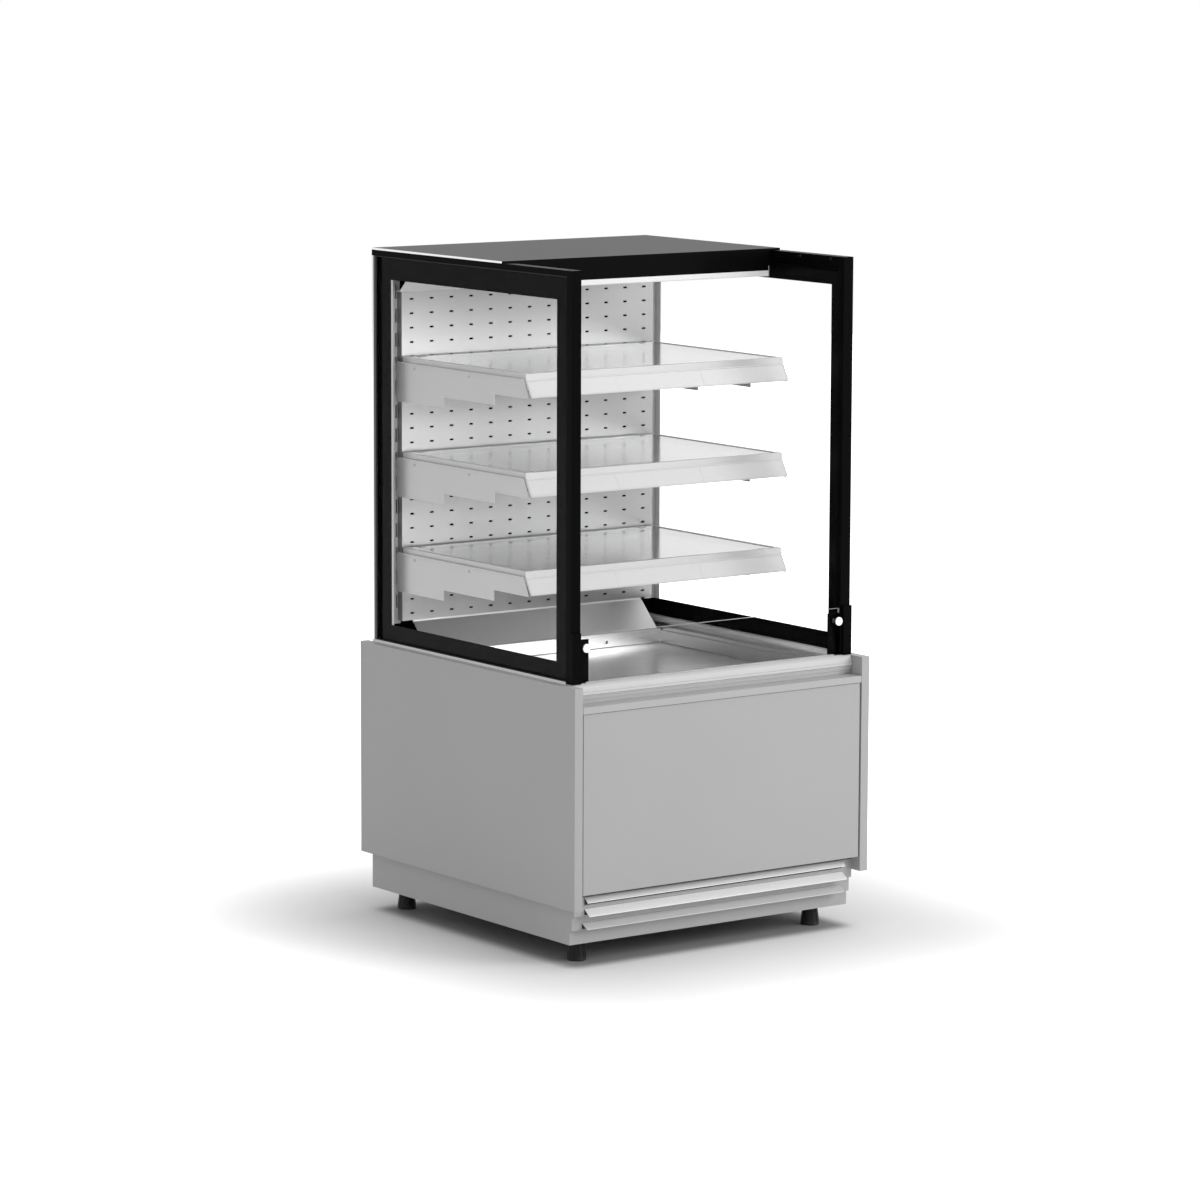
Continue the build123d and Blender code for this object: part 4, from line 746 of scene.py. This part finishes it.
# Glass: clear toughened panes with ground edges. They hardly show except at a low angle,
# where they mirror the room, and at their edges, which are pale and a little green.
def clear_pane(name, flat_axis, body, mirror, edge_body=0.55, tone=0.93, blur=0.02):
    """Clear glass: a mirror that shows at low angles only, with ground edges."""
    finish = Finish(name, IOR=1.5)
    lean = finish.node("ShaderNodeLayerWeight", {}, {"Blend": 0.5}, "Facing")
    graze = finish.ramp(lean, 0.5, 0.97)
    facing = finish.along(
        flat_axis, finish.node("ShaderNodeTexCoord", {}, {}, "Normal")
    )
    on_edge = (facing * facing) < 0.5
    smear = finish.ramp(finish.grain(7.0, (1.0, 1.0, 0.4)), 0.5, 0.8)
    finish.feed("Base Color", finish.tint(on_edge, (tone, tone, tone + 0.01), (0.60, 0.68, 0.66)))
    finish.feed("Metallic", 1.0 - on_edge)
    finish.feed("Roughness", blur + smear * 0.04 + on_edge * 0.25)
    finish.feed("Alpha", body + graze * mirror + on_edge * edge_body)
    return finish


clear_pane("pane_glass", "X", 0.0, 0.5, 0.3).dress("side_glass_left", "side_glass_right")
clear_pane("front_pane_glass", "Y", 0.0, 0.6).dress("front_glass")
clear_pane("shelf_pane_glass", "Z", 0.20, 0.62, tone=0.92, blur=0.14).dress(
    "shelf_glass_top", "shelf_glass_middle", "shelf_glass_bottom", eased=0.0006
)
enamel = moulded("enamel", 0.004, 0.007, 0.12, 500.0, 0.03)
enamel.dress("glass_borders")

# Low front glass: it stands in a thin soft channel, and each end is held by a clamp.
# The clamp's polished knob is turned by hand and draws the pane against its pad.
front_low, front_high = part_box("front_glass")
front_seal = bmesh.new()
seal_inset = 0.014
for y, lean in ((front_low.y, -0.0016), (front_high.y, 0.0016)):
    bead(
        front_seal, (front_low.x + seal_inset, y, front_low.z),
        (front_high.x - seal_inset, y, front_low.z), (0, lean, 0), (0, 0, 0.0022),
    )
finished("front_glass_seal", "case", front_seal, sealant)
polished = drawn("polished", 0.80, 0.90, (1.0, 1.0, 1.0), 0.15, 0.6)
knob_front, disc_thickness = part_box("clamp_knob_left")[0].y, 0.0029
knob_two_tone = Finish("knob_two_tone", Roughness=0.3)
knob_disc = knob_two_tone.along("Y") < knob_front + disc_thickness
knob_grain = knob_two_tone.grain(300.0)
disc_tone = knob_two_tone.tint(knob_grain, 0.80, 0.90)
knob_two_tone.feed("Base Color", knob_two_tone.tint(knob_disc, 0.004, disc_tone))
knob_two_tone.feed("Metallic", knob_disc * 0.6)
knob_two_tone.dress("clamp_knob_left", "clamp_knob_right")
clamp_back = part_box("glass_clamps")[1].y
clamp_screw_x = 0.314
screws(
    "clamp_screws", "case",
    [(side * clamp_screw_x, clamp_back, z) for side in (-1, 1) for z in (0.60, 0.62)],
    facing_back, 0.003, plated,
)
knob_ring = [
    (0.0, -0.0002), (0.0025, -0.0002), (0.0030, 0.0004), (0.0066, 0.0004), (0.0072, -0.0002),
]
for side_name in ("left", "right"):
    knob_low, knob_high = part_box(f"clamp_knob_{side_name}")
    knob_dome = bmesh.new()
    turned(
        knob_dome, knob_ring,
        ((knob_low.x + knob_high.x) / 2, knob_low.y, (knob_low.z + knob_high.z) / 2),
        Matrix.Rotation(math.pi / 2, 4, "X"), 40,
    )
    finished(f"clamp_knob_{side_name}_face", f"knob_{side_name}", knob_dome, polished)

# Shelves: coated steel frames on hooked brackets, with a glass plate on clear pads.
# A pale strip along the front holds blank price cards between two lips, shut by end caps.
shelf_grey = drawn("shelf_grey", 0.50, 0.56, across, 0.3, 0.35)
strip_white = moulded("strip_white", 0.60, 0.66, 0.35, 300.0)
card_white = moulded("card_white", 0.64, 0.70, 0.6, 250.0, 0.2)
pad_clear = moulded("pad_clear", 0.55, 0.65, 0.3, 200.0)
strip_slant, card_count, card_pitch, card_width = 0.020, 3, 0.2155, 0.2145
cap_inner, cap_outer = 0.3255, 0.3272
bracket_face, rivet_drop, rivet_radius = 0.3290, 0.022, 0.003
for shelf_name in ("top", "middle", "bottom"):
    shelf_body = f"shelf_{shelf_name}"
    shelf_grey.dress(f"shelf_frame_{shelf_name}", eased=0.0005)
    strip_white.dress(f"price_strip_{shelf_name}", eased=0.0004)
    strip_low, strip_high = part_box(f"price_strip_{shelf_name}")
    top_edge = Vector((0.0, strip_low.y + strip_slant, strip_high.z))
    low_edge = Vector((0.0, strip_low.y, strip_low.z))
    down = (low_edge - top_edge).normalized()
    proud = Vector((0.0, down.z, -down.y))
    length = (low_edge - top_edge).length
    lips = bmesh.new()
    for near, far in ((0.0012, 0.0036), (length - 0.0036, length - 0.0008)):
        section = [
            top_edge + down * near - proud * 0.0003, top_edge + down * near + proud * 0.0007,
            top_edge + down * (near + far) / 2 + proud * 0.0012,
            top_edge + down * far + proud * 0.0006, top_edge + down * far - proud * 0.0003,
        ]
        prism(lips, *[[p + Vector((x, 0, 0)) for p in section]
                      for x in (strip_low.x + 0.001, strip_high.x - 0.001)])
    for side in (-1, 1):
        outline = [
            top_edge, low_edge, low_edge + Vector((0, 0.002, 0)),
            top_edge + Vector((0, 0.003, -0.002)), top_edge + Vector((0, 0.009, -0.002)),
            top_edge + Vector((0, 0.009, 0)),
        ]
        prism(lips, *[[p + Vector((side * x, 0, 0)) for p in outline]
                      for x in (cap_inner, cap_outer)])
    finished(f"price_lips_{shelf_name}", shelf_body, lips, strip_white)
    cards = bmesh.new()
    for n in range(card_count):
        x0 = strip_low.x + 0.004 + n * card_pitch
        section = [
            top_edge + down * at + proud * lift
            for at, lift in ((0.0038, -0.0001), (0.0038, 0.0003), (length - 0.0038, 0.0003),
                             (length - 0.0038, -0.0001))
        ]
        prism(cards, *[
            [p + Vector((x, 0, 0)) for p in section] for x in (x0, x0 + card_width)
        ])
    finished(f"price_cards_{shelf_name}", shelf_body, cards, card_white)
    plate_low, plate_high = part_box(f"shelf_glass_{shelf_name}")
    pads = bmesh.new()
    for x in (plate_low.x + 0.030, plate_high.x - 0.030):
        for y in (plate_low.y + 0.004, plate_high.y - 0.004):
            block(
                pads, (x - 0.008, y - 0.0035, plate_high.z - 0.0002),
                (x + 0.008, y + 0.0035, plate_high.z + 0.0008), 0.0004,
            )
    finished(f"shelf_pads_{shelf_name}", shelf_body, pads, pad_clear)
    frame_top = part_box(f"shelf_frame_{shelf_name}")[1].z
    for side, side_name in ((-1, "left"), (1, "right")):
        screws(
            f"bracket_rivets_{shelf_name}_{side_name}", shelf_body,
            [(side * bracket_face, y, frame_top - rivet_drop) for y in (0.05, 0.25)],
            Matrix.Rotation(side * math.pi / 2, 4, "Y"), rivet_radius, shelf_grey,
        )


# Studio: a pale floor with a painted shadow under the case, that fades into white away from the
# case, and an even sky.
# Two soft lamps stand to the front right and overhead.
floor_mesh = bmesh.new()
bmesh.ops.create_circle(floor_mesh, cap_ends=True, radius=14.0, segments=96)
floor_data = bpy.data.meshes.new("studio_floor")
floor_mesh.to_mesh(floor_data)
floor_mesh.free()
floor = bpy.data.objects.new("studio_floor", floor_data)
bpy.context.scene.collection.objects.link(floor)
floor_white = Finish("floor_white", Roughness=0.7, Specular_IOR_Level=0.05)
floor_data.materials.append(floor_white.material)


def away_from(middle, half):
    """How far a place on the floor lies outside a rectangle."""
    outside = []
    for axis, shift, reach in zip("XY", middle, half):
        across_floor = floor_white.node(
            "ShaderNodeMath", {"operation": "ABSOLUTE"}, {0: floor_white.along(axis) - shift}
        )
        outside.append(floor_white.node(
            "ShaderNodeMath", {"operation": "MAXIMUM"}, {0: across_floor - reach, 1: 0.0}
        ))
    squares = outside[0] * outside[0] + outside[1] * outside[1]
    return floor_white.node("ShaderNodeMath", {"operation": "SQRT"}, {0: squares})


def shows_white(finish):
    """One for the rays that see the background: the camera's, in mirrors and through glass."""
    sees = [
        finish.node("ShaderNodeLightPath", {}, {}, f"Is {kind} Ray")
        for kind in ("Camera", "Glossy", "Transmission")
    ]
    return finish.ramp(sees[0] + sees[1] + sees[2], 0.0, 1.0)


floor_tone = floor_white.tint(floor_white.grain(0.6), 0.80, 0.82)
# Under the case the floor is coloured darker as a painted shadow; round it, more to the front
# right, it fades into white.
in_shade = floor_white.ramp(away_from((0.0, 0.0), (0.33, 0.33)), 0.05, 0.0)
floor_white.feed("Base Color", floor_white.tint(in_shade, floor_tone, 0.34))
fade = floor_white.ramp(away_from((0.05, -0.06), (0.34, 0.34)), 0.04, 0.95)
fade = fade * shows_white(floor_white)
floor_white.feed("Emission Color", floor_white.tint(fade, 0.0, 1.0))
floor_white.shader.inputs["Emission Strength"].default_value = 1.0

world = bpy.data.worlds.new("studio")
bpy.context.scene.world = world
sky = Finish(world)
sky_shader = sky.tree.nodes["Background"]
sky.tree.links.new(sky.tint(shows_white(sky), 0.62, 1.0).socket, sky_shader.inputs["Color"])
sky_shader.inputs["Strength"].default_value = 1.0


def soft_lamp(name, place, target, size, power):
    """A square soft box aimed at a point."""
    data = bpy.data.lights.new(name, "AREA")
    data.shape = "SQUARE"
    data.size = size
    data.energy = power
    data.specular_factor = 0.2
    lamp = bpy.data.objects.new(name, data)
    lamp.location = place
    lamp.rotation_mode = "QUATERNION"
    lamp.rotation_quaternion = (Vector(target) - Vector(place)).to_track_quat("-Z", "Y")
    bpy.context.scene.collection.objects.link(lamp)


soft_lamp("lamp_front", (2.6, -4.2, 2.6), (0.0, 0.0, 0.7), 2.4, 110.0)
soft_lamp("lamp_top", (0.3, -0.6, 4.2), (0.0, 0.0, 0.5), 2.6, 45.0)

camera_data = bpy.data.cameras.new("camera")
camera_data.sensor_width = 36.0
camera_data.lens = 144.56
camera_data.clip_end = 60.0
camera = bpy.data.objects.new("camera", camera_data)
bpy.context.scene.collection.objects.link(camera)
# The view of the photo: about 36 degrees to the left of the front and 8 degrees above level.
camera_turn, camera_rise, camera_roll = (math.radians(a) for a in (-35.982, 8.214, 0.205))
towards = Vector((
    -math.sin(camera_turn) * math.cos(camera_rise),
    math.cos(camera_turn) * math.cos(camera_rise),
    -math.sin(camera_rise),
))
camera.location = (-5.8588, -8.0237, 2.108)
camera.rotation_mode = "QUATERNION"
camera.rotation_quaternion = (
    towards.to_track_quat("-Z", "Y") @ Matrix.Rotation(camera_roll, 3, "Z").to_quaternion()
)
bpy.context.scene.camera = camera
bpy.context.scene.view_settings.view_transform = "Standard"
